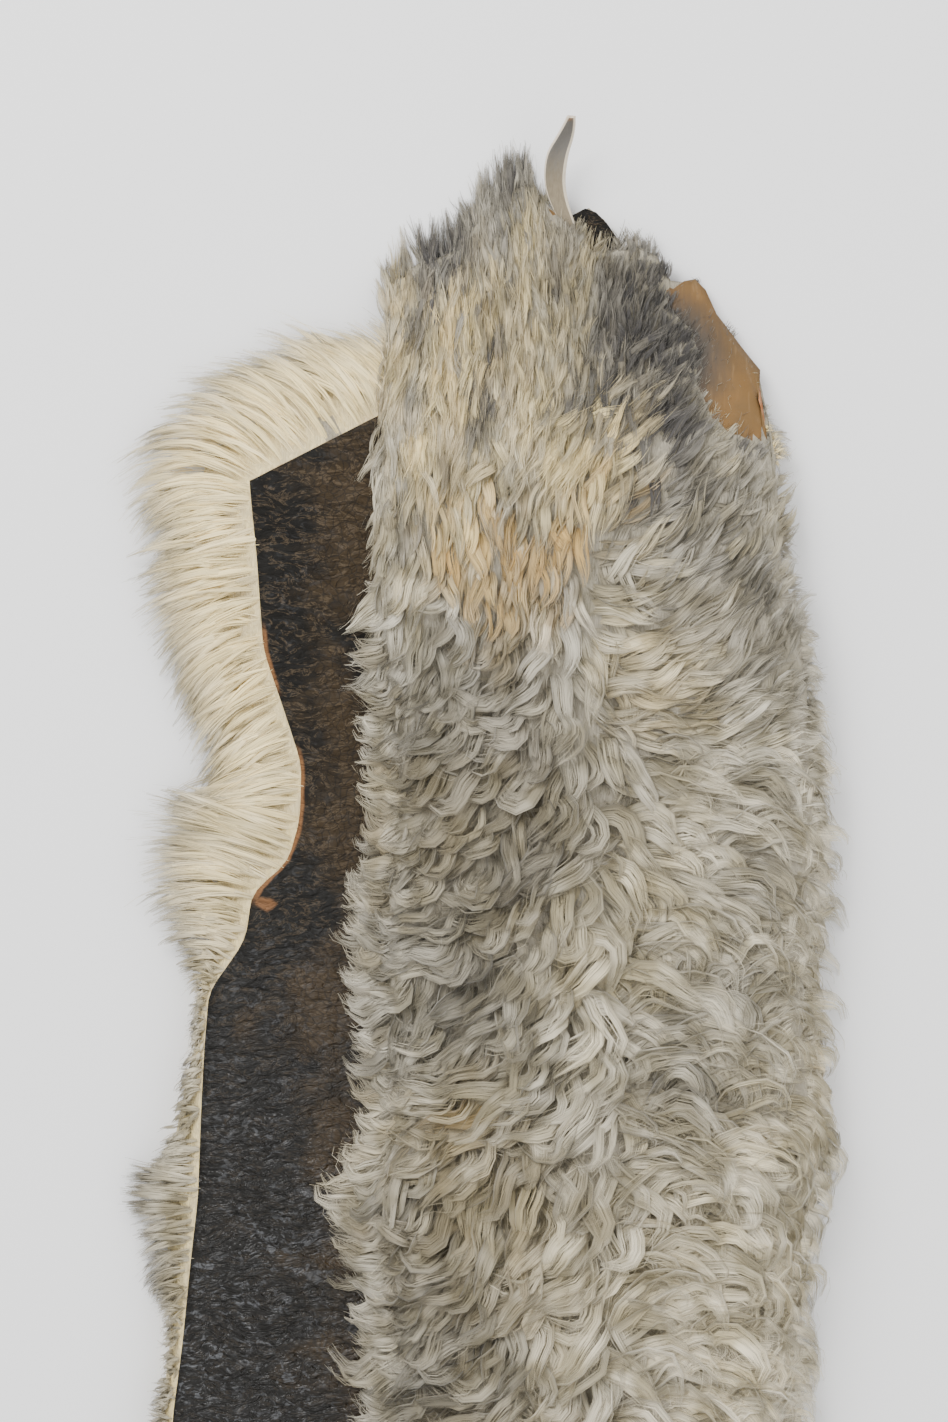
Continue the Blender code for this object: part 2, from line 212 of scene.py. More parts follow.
# How the upper layer's locks lie. Heading is in degrees, 0 towards the fold
# and 90 towards the neck. Wave is how far it swings, in degrees, and curl how
# far it turns over its length. Length, radius and lift are in millimetres.
Comb = namedtuple("Comb", "across down heading wave curl length radius lift")
COMBS = rows_of(
    Comb,
    (240, 60, 91, 6, 0, 32, 2.4, 3), (305, 88, 88, 4, 0, 9, 2.4, 1), (325, 100, 85, 6, 0, 28, 2.4, 3),
    (375, 130, 60, 6, 0, 17, 2.4, 2), (200, 112, 97, 8, 0, 34, 2.4, 3), (220, 92, 96, 8, 0, 32, 2.4, 3),
    (262, 58, 90, 8, 0, 32, 2.4, 3), (345, 106, 74, 8, 0, 26, 2.4, 3),
    (195, 165, -98, 8, 0, 34, 3.0, 3), (285, 140, -90, 9, 0, 38, 2.8, 4),
    (375, 195, 52, 9, 0, 28, 3.0, 3), (200, 215, -96, 12, 0, 40, 4.0, 4),
    (205, 250, -92, 18, -20, 42, 4.6, 5), (265, 250, -84, 18, 20, 42, 4.8, 5),
    (305, 205, -108, 10, -20, 40, 4.2, 5), (345, 250, 38, 12, 20, 42, 4.0, 4),
    (408, 262, 50, 12, 20, 36, 3.6, 4), (205, 340, -100, 26, -80, 44, 5.2, 6),
    (262, 335, -80, 26, -110, 48, 6.0, 8), (333, 345, 8, 13, 50, 50, 5.8, 3.6),
    (402, 350, 58, 16, -40, 42, 4.7, 3.0), (207, 430, -120, 26, -120, 46, 5.4, 7),
    (268, 430, -70, 28, -140, 54, 6.4, 9), (340, 440, 34, 18, -150, 62, 7.2, 4.8),
    (405, 440, 46, 20, -120, 52, 6.0, 3.6), (210, 560, -108, 26, -110, 56, 6.0, 8),
    (270, 565, -76, 26, -110, 64, 6.8, 9), (340, 560, 66, 13, -200, 72, 8.1, 5.4),
    (410, 560, 44, 16, -165, 62, 6.7, 4.2), (207, 690, -118, 26, -100, 56, 6.2, 8),
    (265, 700, -82, 26, -110, 66, 7.0, 9), (345, 700, 80, 13, -215, 78, 8.7, 6.0),
    (408, 700, 46, 16, -185, 66, 7.4, 4.2), (212, 860, -108, 26, -110, 56, 6.2, 8),
    (270, 880, -86, 26, -120, 62, 6.8, 9), (345, 860, 70, 14, -210, 76, 8.5, 5.4),
    (402, 880, 36, 16, -180, 64, 7.2, 4.2), (300, 1030, -92, 24, -120, 54, 6.0, 7),
    (375, 1030, -72, 22, -120, 52, 6.7, 4.2),
)
# How far a comb reaches, in millimetres
COMB_REACH = 38

# Where the upper wool is cream, dark, amber or brighter, within a radius in millimetres. The bright
# column is painted light and shade: broad lighter and darker patches over the lumps of curls. Some dark
# weights among the curls are also painted shade in their hollows.
Tint = namedtuple("Tint", "across down radius cream dark amber bright", defaults=(0.0,))
TINTS = rows_of(
    Tint,
    (285, 120, 110, 0.26, 0.0, 0.05, -0.24), (212, 150, 50, 0.45, 0.0, 0.16, -0.05),
    (270, 110, 45, 0.35, 0.15, 0.05), (300, 190, 40, 0.45, 0.0, 0.05), (305, 205, 16, 0.60, 0.0, 0.0),
    (347, 140, 46, -1.0, 1.45, 0.0, -0.24), (372, 118, 26, -0.4, 1.0, 0.0),
    (385, 165, 22, 0.0, 0.45, 0.0), (215, 245, 45, 0.40, 0.0, 0.05), (226, 244, 26, 0.20, 0.0, 0.75),
    (240, 288, 28, 0.10, 0.0, 0.85), (262, 264, 26, 0.10, 0.0, 1.0), (300, 245, 22, 0.30, 0.0, 0.70),
    (312, 203, 20, 0.7, 0.0, 0.1, 0.1), (212, 84, 30, -0.7, 0.45, 0.0, -0.04),
    (256, 52, 28, -0.7, 0.50, 0.0, -0.04), (336, 90, 24, -0.6, 0.35, 0.0, -0.02),
    (333, 350, 36, 0.40, 0.0, 0.10, 0.14), (382, 265, 60, 0.05, 0.34, 0.0, -0.13),
    (272, 385, 28, 0.0, 0.35, 0.05), (265, 452, 26, -0.1, 0.40, 0.0, -0.06),
    (388, 335, 42, 0.0, 0.30, 0.0, -0.08), (225, 420, 30, 0.15, 0.10, 0.05),
    (390, 480, 38, 0.0, 0.25, 0.0), (300, 500, 60, 0.25, 0.0, 0.0), (245, 600, 20, 0.35, 0.0, 0.35),
    (345, 625, 26, 0.0, 0.35, 0.0), (440, 590, 60, 0.12, 0.0, 0.0), (225, 640, 50, 0.25, 0.05, 0.05),
    (255, 700, 40, 0.15, 0.10, 0.10), (350, 720, 70, 0.12, 0.0, 0.0), (250, 840, 60, 0.20, 0.05, 0.10),
    (370, 820, 130, 0.08, 0.0, 0.0, 0.22), (350, 660, 120, 0.08, 0.0, 0.0, 0.12),
    (350, 430, 80, 0.08, 0.0, 0.0, -0.02), (430, 620, 50, 0.10, 0.0, 0.0, 0.15),
    (300, 1040, 130, 0.10, 0.0, 0.0, 0.15), (445, 470, 90, 0.06, 0.0, 0.0, 0.28),
    (440, 760, 100, 0.0, 0.0, 0.0, 0.16), (370, 950, 90, 0.0, 0.0, 0.0, 0.10),
    (230, 430, 75, 0.24, 0.08, 0.06, -0.27), (235, 680, 90, 0.12, 0.0, 0.04, -0.24),
    (235, 860, 90, 0.0, 0.0, 0.0, -0.12), (240, 520, 34, 0.0, 0.30, 0.0, -0.06),
    (228, 760, 45, 0.0, 0.10, 0.0, -0.05),
)

# A kind of lock: how far apart they root, in millimetres, how many wide bands
# of hair, single strands and steps each has, how flat it is, how far its
# strands stray, in millimetres, and how solid they look
Bundle = namedtuple("Bundle", "spacing bands strands steps flatness scatter thickness")
NECK_BUNDLE = Bundle(4.7, 1, 8, 4, 0.36, 1.9, 0.55)
CURL_BUNDLE = Bundle(10.8, 2, 8, 8, 0.36, 2.0, 0.44)
FOLD_BUNDLE = Bundle(11.0, 2, 9, 7, 0.5, 1.8, 0.48)
EDGE_BUNDLE = Bundle(7.4, 2, 7, 6, 0.6, 1.8, 0.48)
BAND_COLUMNS = 3
# The lower fringe: how far apart its locks root, in millimetres, how many lie
# over each other, the steps in each, and how far they turn, in radians
Fringe = namedtuple("Fringe", "spacing layers steps bend")
FRINGE = Fringe(2.6, 3.6, 6, 0.95)
STRAND_WIDTH = 0.5


def smooth(share):
    share = np.clip(share, 0.0, 1.0)
    return share * share * (3 - 2 * share)


def read(table, key, value, field, ease=0.0):
    """The table's field at each value of its key column. Ease rounds the
    corners between its rows off, over that distance each way."""
    keys = [getattr(row, key) for row in table]
    fields = [getattr(row, field) for row in table]
    shifts = [0.0] if not ease else [-ease, -ease / 2, 0.0, ease / 2, ease]
    return sum(np.interp(value + shift, keys, fields) for shift in shifts) / len(shifts)


def noise_at(points, size, seed=0.0, squeeze=(1.0, 1.0, 1.0)):
    """Smooth noise, about -1 to 1, at each point, with lumps of that size.
    Where squeeze is under 1 the lumps are longer that way."""
    flat = (np.asarray(points, float) * squeeze).reshape(-1, 3) / size + seed
    found = np.array([noise.noise(Vector(point)) for point in flat])
    return found.reshape(np.shape(points)[:-1])


def unit(vectors):
    return vectors / np.maximum(np.linalg.norm(vectors, axis=-1, keepdims=True), 1e-9)


def place(across, down, height):
    across, down, height = np.broadcast_arrays(across, down, height)
    return np.stack([across * MM - WIDTH / 2, LENGTH / 2 - down * MM, height], axis=-1)


def across_down(points):
    """Millimetres across and down of points in metres."""
    return (points[..., 0] + WIDTH / 2) / MM, (LENGTH / 2 - points[..., 1]) / MM


def fold_centre(down):
    return read(FOLD, "down", down, "across", 8) - FOLD_RADIUS / MM


def lower_leather(across, down):
    wave = WAVE_HEIGHT * noise_at(place(across, down, 0.0), WAVE_LENGTH)
    return read(DEPTHS, "down", down, "lower") * MM + wave


def upper_leather(across, down):
    """The upper leather's height: over the lower one, or past it the surface."""
    from_fold = (fold_centre(down) - across) * MM
    loop = (2 * FOLD_RADIUS - GAP) * np.exp(-((from_fold / FOLD_SETTLES) ** 2))
    laid = lower_leather(across, down) + GAP + loop
    lower_wool = read(LOWER_NECK, "across", across, "down")
    lower_wool = lower_wool - read(LOWER_NECK, "across", across, "fringe")
    sunk = smooth((lower_wool - down) * MM / SINK_LENGTH)
    return laid + (SUNK_HEIGHT - laid) * sunk


def wool_cover(across, down):
    """From 0 where the upper skin is bare to 1 under full wool."""
    cover = 1.0
    for spot in BARE_SPOTS:
        away = np.hypot(across - spot.across, down - spot.down)
        cover = cover * smooth((away - spot.bare_radius) / (spot.full_radius - spot.bare_radius))
    return cover


class Skin:
    """The skin as a grid: rows from the tail to the neck, and columns from the
    lower open edge round the fold to the upper one."""

    def __init__(self, step, fold_steps):
        lower = np.linspace(1, 0, round(330 * MM / step) + 1)
        turn = np.linspace(0, 1, fold_steps + 1)[1:-1]
        upper = np.linspace(0, 1, round(230 * MM / step) + 1)
        kinds = [LOWER] * len(lower) + [FOLDED] * len(turn) + [UPPER] * len(upper)
        self.layer = np.array(kinds)
        self.share = np.concatenate([lower, turn, upper])
        self.rows = np.linspace(0, 1, round(900 * MM / step) + 1)
        neck, self.neck_fringe = self.ends(LOWER_NECK, FOLD_NECK, UPPER_NECK)
        tail, self.tail_fringe = self.ends(LOWER_TAIL, FOLD_TAIL, UPPER_TAIL)
        self.down = tail + self.rows[:, None] * (neck - tail)
        centre = fold_centre(self.down)
        edge = np.where(
            self.layer == LOWER,
            read(LOWER_EDGE, "down", self.down, "across", 7),
            read(UPPER_EDGE, "down", self.down, "across", 7),
        )
        share = np.where(self.layer == FOLDED, 0, self.share)
        self.across = centre - share * (centre - edge)
        self.angle = np.where(self.layer == FOLDED, math.pi * (self.share - 0.5), 0.0)
        self.leather = self.leather_points()

    def ends(self, lower, fold, upper):
        """Down and fringe of each column at one cut end."""
        found = []
        for field in ("down", "fringe"):
            values = read(fold, "share", self.share, field)
            for kind, table in ((LOWER, lower), (UPPER, upper)):
                first, last = table[0].across, table[-1].across
                across = last - self.share * (last - first)
                own = read(table, "across", across, field, 2)
                values = np.where(self.layer == kind, own, values)
            found.append(values)
        return found

    def leather_points(self):
        low = lower_leather(self.across, self.down)
        high = upper_leather(self.across, self.down)
        middle = low + FOLD_RADIUS
        turned = middle + FOLD_RADIUS * np.sin(self.angle)
        kinds = [self.layer == LOWER, self.layer == FOLDED]
        points = place(self.across, self.down, np.select(kinds, [low, turned], high))
        bulge = np.where(self.layer == FOLDED, FOLD_RADIUS * np.cos(self.angle), 0.0)
        points[..., 0] += bulge
        return points

    def wool_points(self, pile):
        """The fleece's face, that far under the tips of the wool."""
        flat = place(self.across, self.down, 0.0)
        lump = noise_at(flat, LUMP_LENGTH) + 0.5 * noise_at(flat, LUMP_LENGTH / 2.1)
        small = 0.0022 * noise_at(flat, 0.02, 7.0)
        depth = read(DEPTHS, "down", self.down, "upper") * MM + LUMP_HEIGHT * lump
        cover = wool_cover(self.across, self.down)
        depth = 0.0006 + (np.maximum(depth + small - pile, 0.004) - 0.0012) * cover
        low = lower_leather(self.across, self.down)
        middle = low + FOLD_RADIUS
        top = middle + FOLD_RADIUS + depth
        side = FOLD_RADIUS + read(FOLD, "down", self.down, "fringe") * MM - pile
        side = side + 0.8 * LUMP_HEIGHT * noise_at(self.leather * 1.3, LUMP_LENGTH)
        cos = np.maximum(np.cos(self.angle), 0.0)
        reach = np.where(self.layer == FOLDED, side * cos**0.7, 0.0)
        rise = np.where(self.angle > 0, top - middle, middle - 0.002)
        turned = middle + np.sin(self.angle) * rise
        heights = [np.full_like(low, 0.0006), turned]
        kinds = [self.layer == LOWER, self.layer == FOLDED]
        height = np.select(kinds, heights, self.leather[..., 2] + depth)
        points = place(self.across, self.down, height)
        points[..., 0] += reach
        return points

    def ring(self):
        """Row and column numbers of the skin's edge, in order round it."""
        top, side = len(self.rows) - 1, len(self.layer) - 1
        rows = [np.arange(top), np.full(side, top), np.arange(top, 0, -1), np.zeros(side, int)]
        columns = [
            np.zeros(top, int),
            np.arange(side),
            np.full(top, side),
            np.arange(side, 0, -1),
        ]
        return np.concatenate(rows), np.concatenate(columns)

    def fringe(self, rows, columns):
        """How far the wool reaches past the edge's points, in metres."""
        down = self.down[rows, columns]
        lower = read(LOWER_EDGE, "down", down, "fringe", 6)
        upper = read(UPPER_EDGE, "down", down, "fringe", 6)
        found = np.where(columns == 0, lower, upper)
        found = np.where(rows == 0, self.tail_fringe[columns], found)
        found = np.where(rows == len(self.rows) - 1, self.neck_fringe[columns], found)
        return found * MM

    def outward(self, rows, columns):
        """The level direction away from the skin at the edge's points."""
        points = self.leather[rows, columns]
        along = np.roll(points, -2, axis=0) - np.roll(points, 2, axis=0)
        side = np.zeros_like(points)
        side[:, 2] = np.where(self.layer[columns] == UPPER, 1.0, -1.0)
        turn = self.layer[columns] == FOLDED
        side[turn, 0] = np.cos(self.angle[columns][turn])
        side[turn, 2] = np.sin(self.angle[columns][turn])
        found = unit(np.cross(along, side))
        for _ in range(10):
            found = unit(np.roll(found, 1, axis=0) + 2 * found + np.roll(found, -1, axis=0))
        return found


def linked(name, mesh):
    made = bpy.data.objects.new(name, mesh)
    bpy.context.scene.collection.objects.link(made)
    return made


def drop_old(name):
    """Removes an earlier copy, so that an operator can run again."""
    for old in [item for item in bpy.data.objects if item.name.split(".")[0] == name]:
        bpy.data.objects.remove(old)


def grid_in(bm, points):
    """A grid of faces in the bmesh, with its vertices at the rows of points."""
    rows, columns = points.shape[:2]
    made = bmesh.ops.create_grid(bm, x_segments=columns - 1, y_segments=rows - 1, size=1)
    for vert, point in zip(made["verts"], points.reshape(-1, 3)):
        vert.co = point
    return made["verts"]


# Materials


class Socket:
    """A shader socket that adds a node for each sum done with it."""

    def __init__(self, shader, output):
        self.shader = shader
        self.output = output

    def sum(self, operation, first, second):
        return self.shader.node("Math", {"operation": operation}, {0: first, 1: second})

    def __add__(self, other):
        return self.sum("ADD", self, other)

    def __radd__(self, other):
        return self.sum("ADD", other, self)

    def __sub__(self, other):
        return self.sum("SUBTRACT", self, other)

    def __rsub__(self, other):
        return self.sum("SUBTRACT", other, self)

    def __mul__(self, other):
        return self.sum("MULTIPLY", self, other)

    def __rmul__(self, other):
        return self.sum("MULTIPLY", other, self)

    def __pow__(self, other):
        return self.sum("POWER", self, other)


class Shader:
    """A new material with one Principled shader, and a way to add nodes."""

    def __init__(self, name, **settings):
        self.material = bpy.data.materials.new(name)
        self.material.use_nodes = True
        self.tree = self.material.node_tree
        self.surface = self.tree.nodes["Principled BSDF"]
        for key, value in settings.items():
            self.surface.inputs[key.replace("_", " ")].default_value = value

    def node(self, kind, settings=None, inputs=None, output=0):
        made = self.tree.nodes.new("ShaderNode" + kind)
        for key, value in (settings or {}).items():
            setattr(made, key, value)
        for key, value in (inputs or {}).items():
            self.join(value, made.inputs[key])
        return Socket(self, made.outputs[output])

    def join(self, value, target):
        if isinstance(value, Socket):
            self.tree.links.new(value.output, target)
        else:
            target.default_value = value

    def set(self, name, value):
        self.join(value, self.surface.inputs[name])

    def object_place(self):
        return self.node("TexCoord", output="Object")

    def stretched(self, place, scale):
        return self.node("Mapping", {}, {"Vector": place, "Scale": scale})

    def noise(self, place, scale, detail=3.0, distortion=0.0, roughness=0.55):
        inputs = {"Vector": place, "Scale": scale, "Detail": detail}
        inputs.update({"Distortion": distortion, "Roughness": roughness})
        return self.node("TexNoise", {}, inputs)

    def cracks(self, place, scale):
        """0 on the lines between cells of about 1 / scale metres."""
        inputs = {"Vector": place, "Scale": scale}
        return self.node("TexVoronoi", {"feature": "DISTANCE_TO_EDGE"}, inputs)

    def span(self, value, low, high):
        """0 at low, 1 at high, and an eased step between them."""
        inputs = {"Value": value, 1: low, 2: high}
        return self.node("MapRange", {"interpolation_type": "SMOOTHSTEP"}, inputs)

    def mixed(self, factor, first, second, blend="MIX"):
        settings = {"data_type": "RGBA", "blend_type": blend}
        inputs = {0: factor, 6: colour(first), 7: colour(second)}
        return self.node("Mix", settings, inputs, output=2)

    def attribute(self, name, output="Fac"):
        return self.node("Attribute", {"attribute_name": name}, output=output)

    def part(self, place, axis):
        return self.node("SeparateXYZ", {}, {0: place}, output=axis)

    def distance(self, place, point):
        return self.node("VectorMath", {"operation": "DISTANCE"}, {0: place, 1: point}, output=1)

    def streaks(self, place, scale, *settings):
        """Noise with its own scale on each axis."""
        return self.noise(self.stretched(place, scale), 1.0, *settings)

    def bump(self, height, strength, distance, below=None):
        inputs = {"Height": height, "Strength": strength, "Distance": distance}
        if below is not None:
            inputs["Normal"] = below
        return self.node("Bump", {}, inputs)


def colour(value):
    """A colour with its alpha, or the socket as it is."""
    return value if isinstance(value, Socket) else (*value[:3], 1.0)


def leather_material(skin):
    """The hide's finished inner side: dark, crackled, glossier to the tail, with painted bluish
    highlights in specks.
    """
    s = Shader("crackled_leather", Specular_IOR_Level=0.28)
    where = s.object_place()
    along = s.part(where, "Y")
    tailward = s.span(along, 0.20, -0.12)
    warped = s.node(
        "VectorMath",
        {"operation": "MULTIPLY_ADD"},
        {0: s.node("TexNoise", {}, {"Vector": where, "Scale": 38.0}, output="Color"),
         1: (0.012, 0.012, 0.012), 2: where},
    )
    mottle = s.noise(where, 20.0, 4.0, 0.6)
    bands = s.streaks(where, (9.0, 24.0, 9.0), 3.0, 0.8)
    crackle = s.cracks(warped, 190.0)
    fine = s.cracks(warped, 430.0)
    folds = s.streaks(warped, (52.0, 120.0, 52.0), 3.2, 1.8, 0.55)
    wrinkle = s.cracks(s.stretched(warped, (120.0, 210.0, 120.0)), 1.0)
    scratch = s.streaks(warped, (48.0, 120.0, 48.0), 5.0, 2.2, 0.65)
    side = s.part(where, "X")
    inward = s.span(side, -0.135, -0.070) * s.span(along, 0.46, 0.40)
    brown = s.span(mottle * 0.55 + bands * 0.25 + 0.16 * inward, 0.44, 0.60)
    base = s.mixed(brown, skin.leather_dark, skin.leather_brown)
    line = s.span(scratch, 0.52, 0.57) * s.span(scratch, 0.62, 0.57)
    worn = line * (1 - 0.75 * tailward)
    base = s.mixed(worn * 0.6, base, (0.095, 0.068, 0.040))
    # Painted highlights: bluish-grey specks mixed into the colour in patches, more of them towards the
    # tail and fewer on the browner middle
    highlight_specks = s.streaks(warped, (150.0, 230.0, 150.0), 2.0, 1.0)
    highlight_patch = s.span(s.noise(where, 34.0, 2.0), 0.38, 0.56)
    lowest = s.span(along, 0.0, -0.22)
    painted_highlight = s.span(highlight_specks, 0.53, 0.65) * highlight_patch * (1 - 0.6 * inward)
    painted_highlight = painted_highlight * (0.35 + 0.35 * tailward + 0.7 * lowest)
    base = s.mixed(painted_highlight * 0.75, base, (0.070, 0.072, 0.076))
    cut = s.attribute("cut_edge")
    rust = s.span(along, 0.080, 0.092) * s.span(along, 0.186, 0.170)
    rust = rust + s.span(along, 0.212, 0.222) * s.span(along, 0.262, 0.250)
    rusty = s.span(cut + 0.9 * (mottle - 0.5), 0.50, 0.80) * rust
    spot = s.distance(warped, (-0.1195, 0.0888, 0.030))
    rusty = rusty + 0.8 * s.span(spot + 0.006 * (folds - 0.5), 0.0068, 0.0040)
    seam = s.span(crackle, 0.10, 0.0)
    base = s.mixed(seam * 0.6, base, (0.006, 0.005, 0.004))
    base = s.mixed(rusty, base, (0.20, 0.092, 0.036))
    s.set("Base Color", base)
    gloss = s.span(folds, 0.35, 0.65)
    s.set("Roughness", 0.78 - 0.54 * tailward + 0.16 * gloss)
    grain = s.bump(crackle, 0.35, 0.0010)
    grain = s.bump(s.span(wrinkle, 0.0, 0.25), 0.28, 0.0014, grain)
    grain = s.bump(fine, 0.40, 0.0005, grain)
    s.set("Normal", s.bump(folds, 0.95, 0.0050, grain))
    return s.material


def grain_material(skin):
    """The hide's outer side where the wool is shorn: tan with a soft grain."""
    s = Shader("tan_grain_side", Specular_IOR_Level=0.35)
    where = s.object_place()
    blotch = s.noise(where, 28.0, 4.0, 0.5)
    pores = s.noise(where, 700.0, 2.0)
    streak = s.streaks(where, (380.0, 60.0, 60.0), 3.0)
    tan = s.mixed(s.span(blotch, 0.35, 0.65), skin.tan, (0.17, 0.088, 0.024))
    tan = s.mixed(s.span(streak, 0.55, 0.75) * 0.35, tan, (0.28, 0.18, 0.085))
    # Painted shadow of the wool beside the tan side, together with its short dark hair: the tan darkens
    # towards one point
    spread = s.distance(where, (0.120, 0.428, 0.03))
    shade = s.span(spread + 0.012 * (streak - 0.5), 0.058, 0.026)
    s.set("Base Color", s.mixed(shade * 0.92, tan, (0.045, 0.040, 0.034)))
    s.set("Roughness", 0.62 + 0.2 * pores)
    s.set("Normal", s.bump(pores * 0.6 + streak * 0.4, 0.35, 0.0006))
    return s.material


def edge_material():
    """The cut edge: pale fibres with rusty stretches."""
    s = Shader("cut_edge", Roughness=0.85)
    where = s.object_place()
    rust = s.span(s.noise(where, 17.0, 3.0, 0.3), 0.50, 0.60)
    fibres = s.noise(where, 900.0, 2.0)
    s.set("Base Color", s.mixed(rust, (0.50, 0.38, 0.25), (0.36, 0.13, 0.04)))
    s.set("Normal", s.bump(fibres, 0.5, 0.0006))
    return s.material


def wool_material(skin):
    """Bands of fine hair. The fibre attribute holds how cream, dark and amber a point is, and how
    bright, where the brightness is painted light and shade as well as each lock's own tone. The feather
    one thins the bands' sides and ends."""
    s = Shader(
        "wool_fibres", Roughness=0.70, Specular_IOR_Level=0.22, Sheen_Weight=0.2, Sheen_Roughness=0.5
    )
    fibre = s.attribute("fibre", "Color")
    tone = s.attribute("fibre", "Alpha")
    feather = s.attribute("feather")
    weights = s.tree.nodes.new("ShaderNodeSeparateColor")
    s.join(fibre, weights.inputs[0])
    cream, dark, amber = (Socket(s, weights.outputs[i]) for i in range(3))
    strand = s.node("UVMap", {"uv_map": "strand"})
    along = s.part(strand, "Y")
    wisps = s.streaks(strand, (7.5, 1.5, 1.0), 1.0, 0.0, 0.6)
    hairs = s.streaks(strand, (24.0, 1.8, 1.0), 0.0, 0.0, 0.6)
    mottle = s.noise(s.object_place(), 42.0, 1.0)
    base = s.mixed(s.span(mottle, 0.36, 0.62), skin.grey, skin.silver)
    base = s.mixed(cream, base, skin.cream)
    base = s.mixed(amber, base, skin.amber)
    base = s.mixed(dark, base, skin.dark)
    base = s.mixed(s.span(along, 0.5, 1.0) * 0.25, base, skin.silver)
    wisps = s.span(wisps, 0.30, 0.70)
    hairs = s.span(hairs, 0.30, 0.70)
    # The fibre's brightness paints shade towards the roots and broad light and shade over the curls;
    # the streaks vary it hair by hair
    bright = tone * (0.70 + 0.22 * wisps + 0.20 * hairs)
    shade = s.node("CombineColor", {}, {0: bright, 1: bright, 2: bright})
    s.set("Base Color", s.mixed(1.0, base, shade, "MULTIPLY"))
    s.set("Alpha", s.span(feather + 0.85 * (wisps - 0.5) + 0.75 * (hairs - 0.5), 0.20, 0.60))
    s.set("Normal", s.bump(wisps * 0.6 + hairs * 0.4, 0.5, 0.0010))
    return s.material


def fleece_material(name, deep, pale):
    """The matted wool between the roots of the locks."""
    s = Shader(name, Roughness=0.9, Specular_IOR_Level=0.15)
    where = s.object_place()
    tuft = s.noise(where, 60.0, 4.0, 0.8)
    fibres = s.span(s.streaks(where, (620.0, 130.0, 400.0), 2.0, 1.2), 0.3, 0.7)
    base = s.mixed(s.span(tuft, 0.35, 0.65), deep, pale)
    s.set("Base Color", s.mixed(fibres * 0.5, base, deep))
    s.set("Normal", s.bump(fibres * 0.5 + tuft * 0.5, 0.7, 0.003))
    return s.material


def floor_material():
    pale = (0.90, 0.90, 0.90, 1.0)
    return Shader("pale_floor", Roughness=0.8, Specular_IOR_Level=0.2, Base_Color=pale).material


# Pieces


def smooth_mesh(name, bm):
    """The bmesh's faces as a smooth mesh. It frees the bmesh."""
    for face in bm.faces:
        face.smooth = True
    mesh = bpy.data.meshes.new(name)
    bm.to_mesh(mesh)
    bm.free()
    return mesh


def thin_sheet(name, points, cut_column, materials, thickness):
    """A sheet with its first face up, and cut_edge at 1 along one column."""
    drop_old(name)
    bm = bmesh.new()
    grid_in(bm, points)
    bmesh.ops.recalc_face_normals(bm, faces=bm.faces)
    bm.faces.ensure_lookup_table()
    if bm.faces[0].normal.z < 0:
        bmesh.ops.reverse_faces(bm, faces=bm.faces)
    mesh = smooth_mesh(name, bm)
    sheet = linked(name, mesh)
    cut = np.zeros(points.shape[:2], np.float32)
    cut[:, cut_column] = 1.0
    store = mesh.attributes.new("cut_edge", "FLOAT", "POINT")
    store.data.foreach_set("value", cut.ravel())
    for material in materials:
        mesh.materials.append(material)
    wall = sheet.modifiers.new("thickness", "SOLIDIFY")
    wall.thickness = thickness
    wall.offset = -1.0
    wall.material_offset = 1
    wall.material_offset_rim = 2
    return sheet


def make_hide(skin):
    """The hide as one thin folded sheet, with its creases."""
    surface = Skin(skin.hide_step, HIDE_TURNS)
    points = surface.leather.copy()
    across, down = across_down(points)
    shown = np.where(surface.layer == LOWER, smooth((across - 55) / 25), 0.3)
    flat = place(across, down, 0.0)
    warp = flat + 0.006 * np.stack([noise_at(flat, 0.03, s) for s in (3.0, 5.0, 9.0)], axis=-1)
    crease = 1 - np.abs(noise_at(warp, 0.034, 2.0, (0.55, 1.9, 1.0))) * 3.0
    crease = np.maximum(crease, 0.0) ** 2
    for first, last, height in CREASES:
        start, stop = np.array(first, float), np.array(last, float)
        line = stop - start
        along = ((across - start[0]) * line[0] + (down - start[1]) * line[1]) / (line @ line)
        near = np.clip(along, 0, 1)
        bow = 6 * np.sin(math.pi * near)
        aside = across - start[0] - line[0] * near + bow * 0.4
        gap = np.hypot(aside, down - start[1] - line[1] * near - bow)
        ends = np.sin(math.pi * np.clip(near, 0.05, 0.95)) ** 0.5
        crease = crease + height * np.exp(-((gap / 4.5) ** 2)) * ends
    ripple = noise_at(warp, 0.012, 4.0, (0.8, 1.5, 1.0))
    points[..., 2] += shown * (0.0012 * crease + 0.0005 * ripple - 0.0004)
    materials = (leather_material(skin), grain_material(skin), edge_material())
    hide = thin_sheet("hide", points, 0, materials, skin.hide_thickness)
    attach(hide, BODY)
    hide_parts(NODE)
    return hide


def make_tongue(skin):
    """The narrow tongue of skin that curls up at the neck."""
    steps = np.arange(len(TONGUE))
    fine = np.linspace(0, len(TONGUE) - 1, 34)
    fields = {f: np.interp(fine, steps, [getattr(t, f) for t in TONGUE]) for f in Tongue._fields}
    for field, values in fields.items():
        padded = np.pad(values, 2, mode="edge")
        fields[field] = np.convolve(padded, [0.15, 0.2, 0.3, 0.2, 0.15], "valid")
    sides = np.linspace(-0.5, 0.5, 7)
    across = fields["across"][:, None] + sides * fields["width"][:, None]
    across = across + 0.5 * np.sin(fine * 1.7)[:, None]
    cup = 2.2 * (sides**2) * 4 * smooth(fine / 4)[:, None]
    height = (TONGUE_HEIGHT + fields["rise"][:, None] + cup) * MM
    points = place(across, fields["down"][:, None], height)
    tongue = thin_sheet("neck_tongue", points, -1, tongue_materials(skin), skin.hide_thickness * 0.9)
    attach(tongue, BODY)
    return tongue


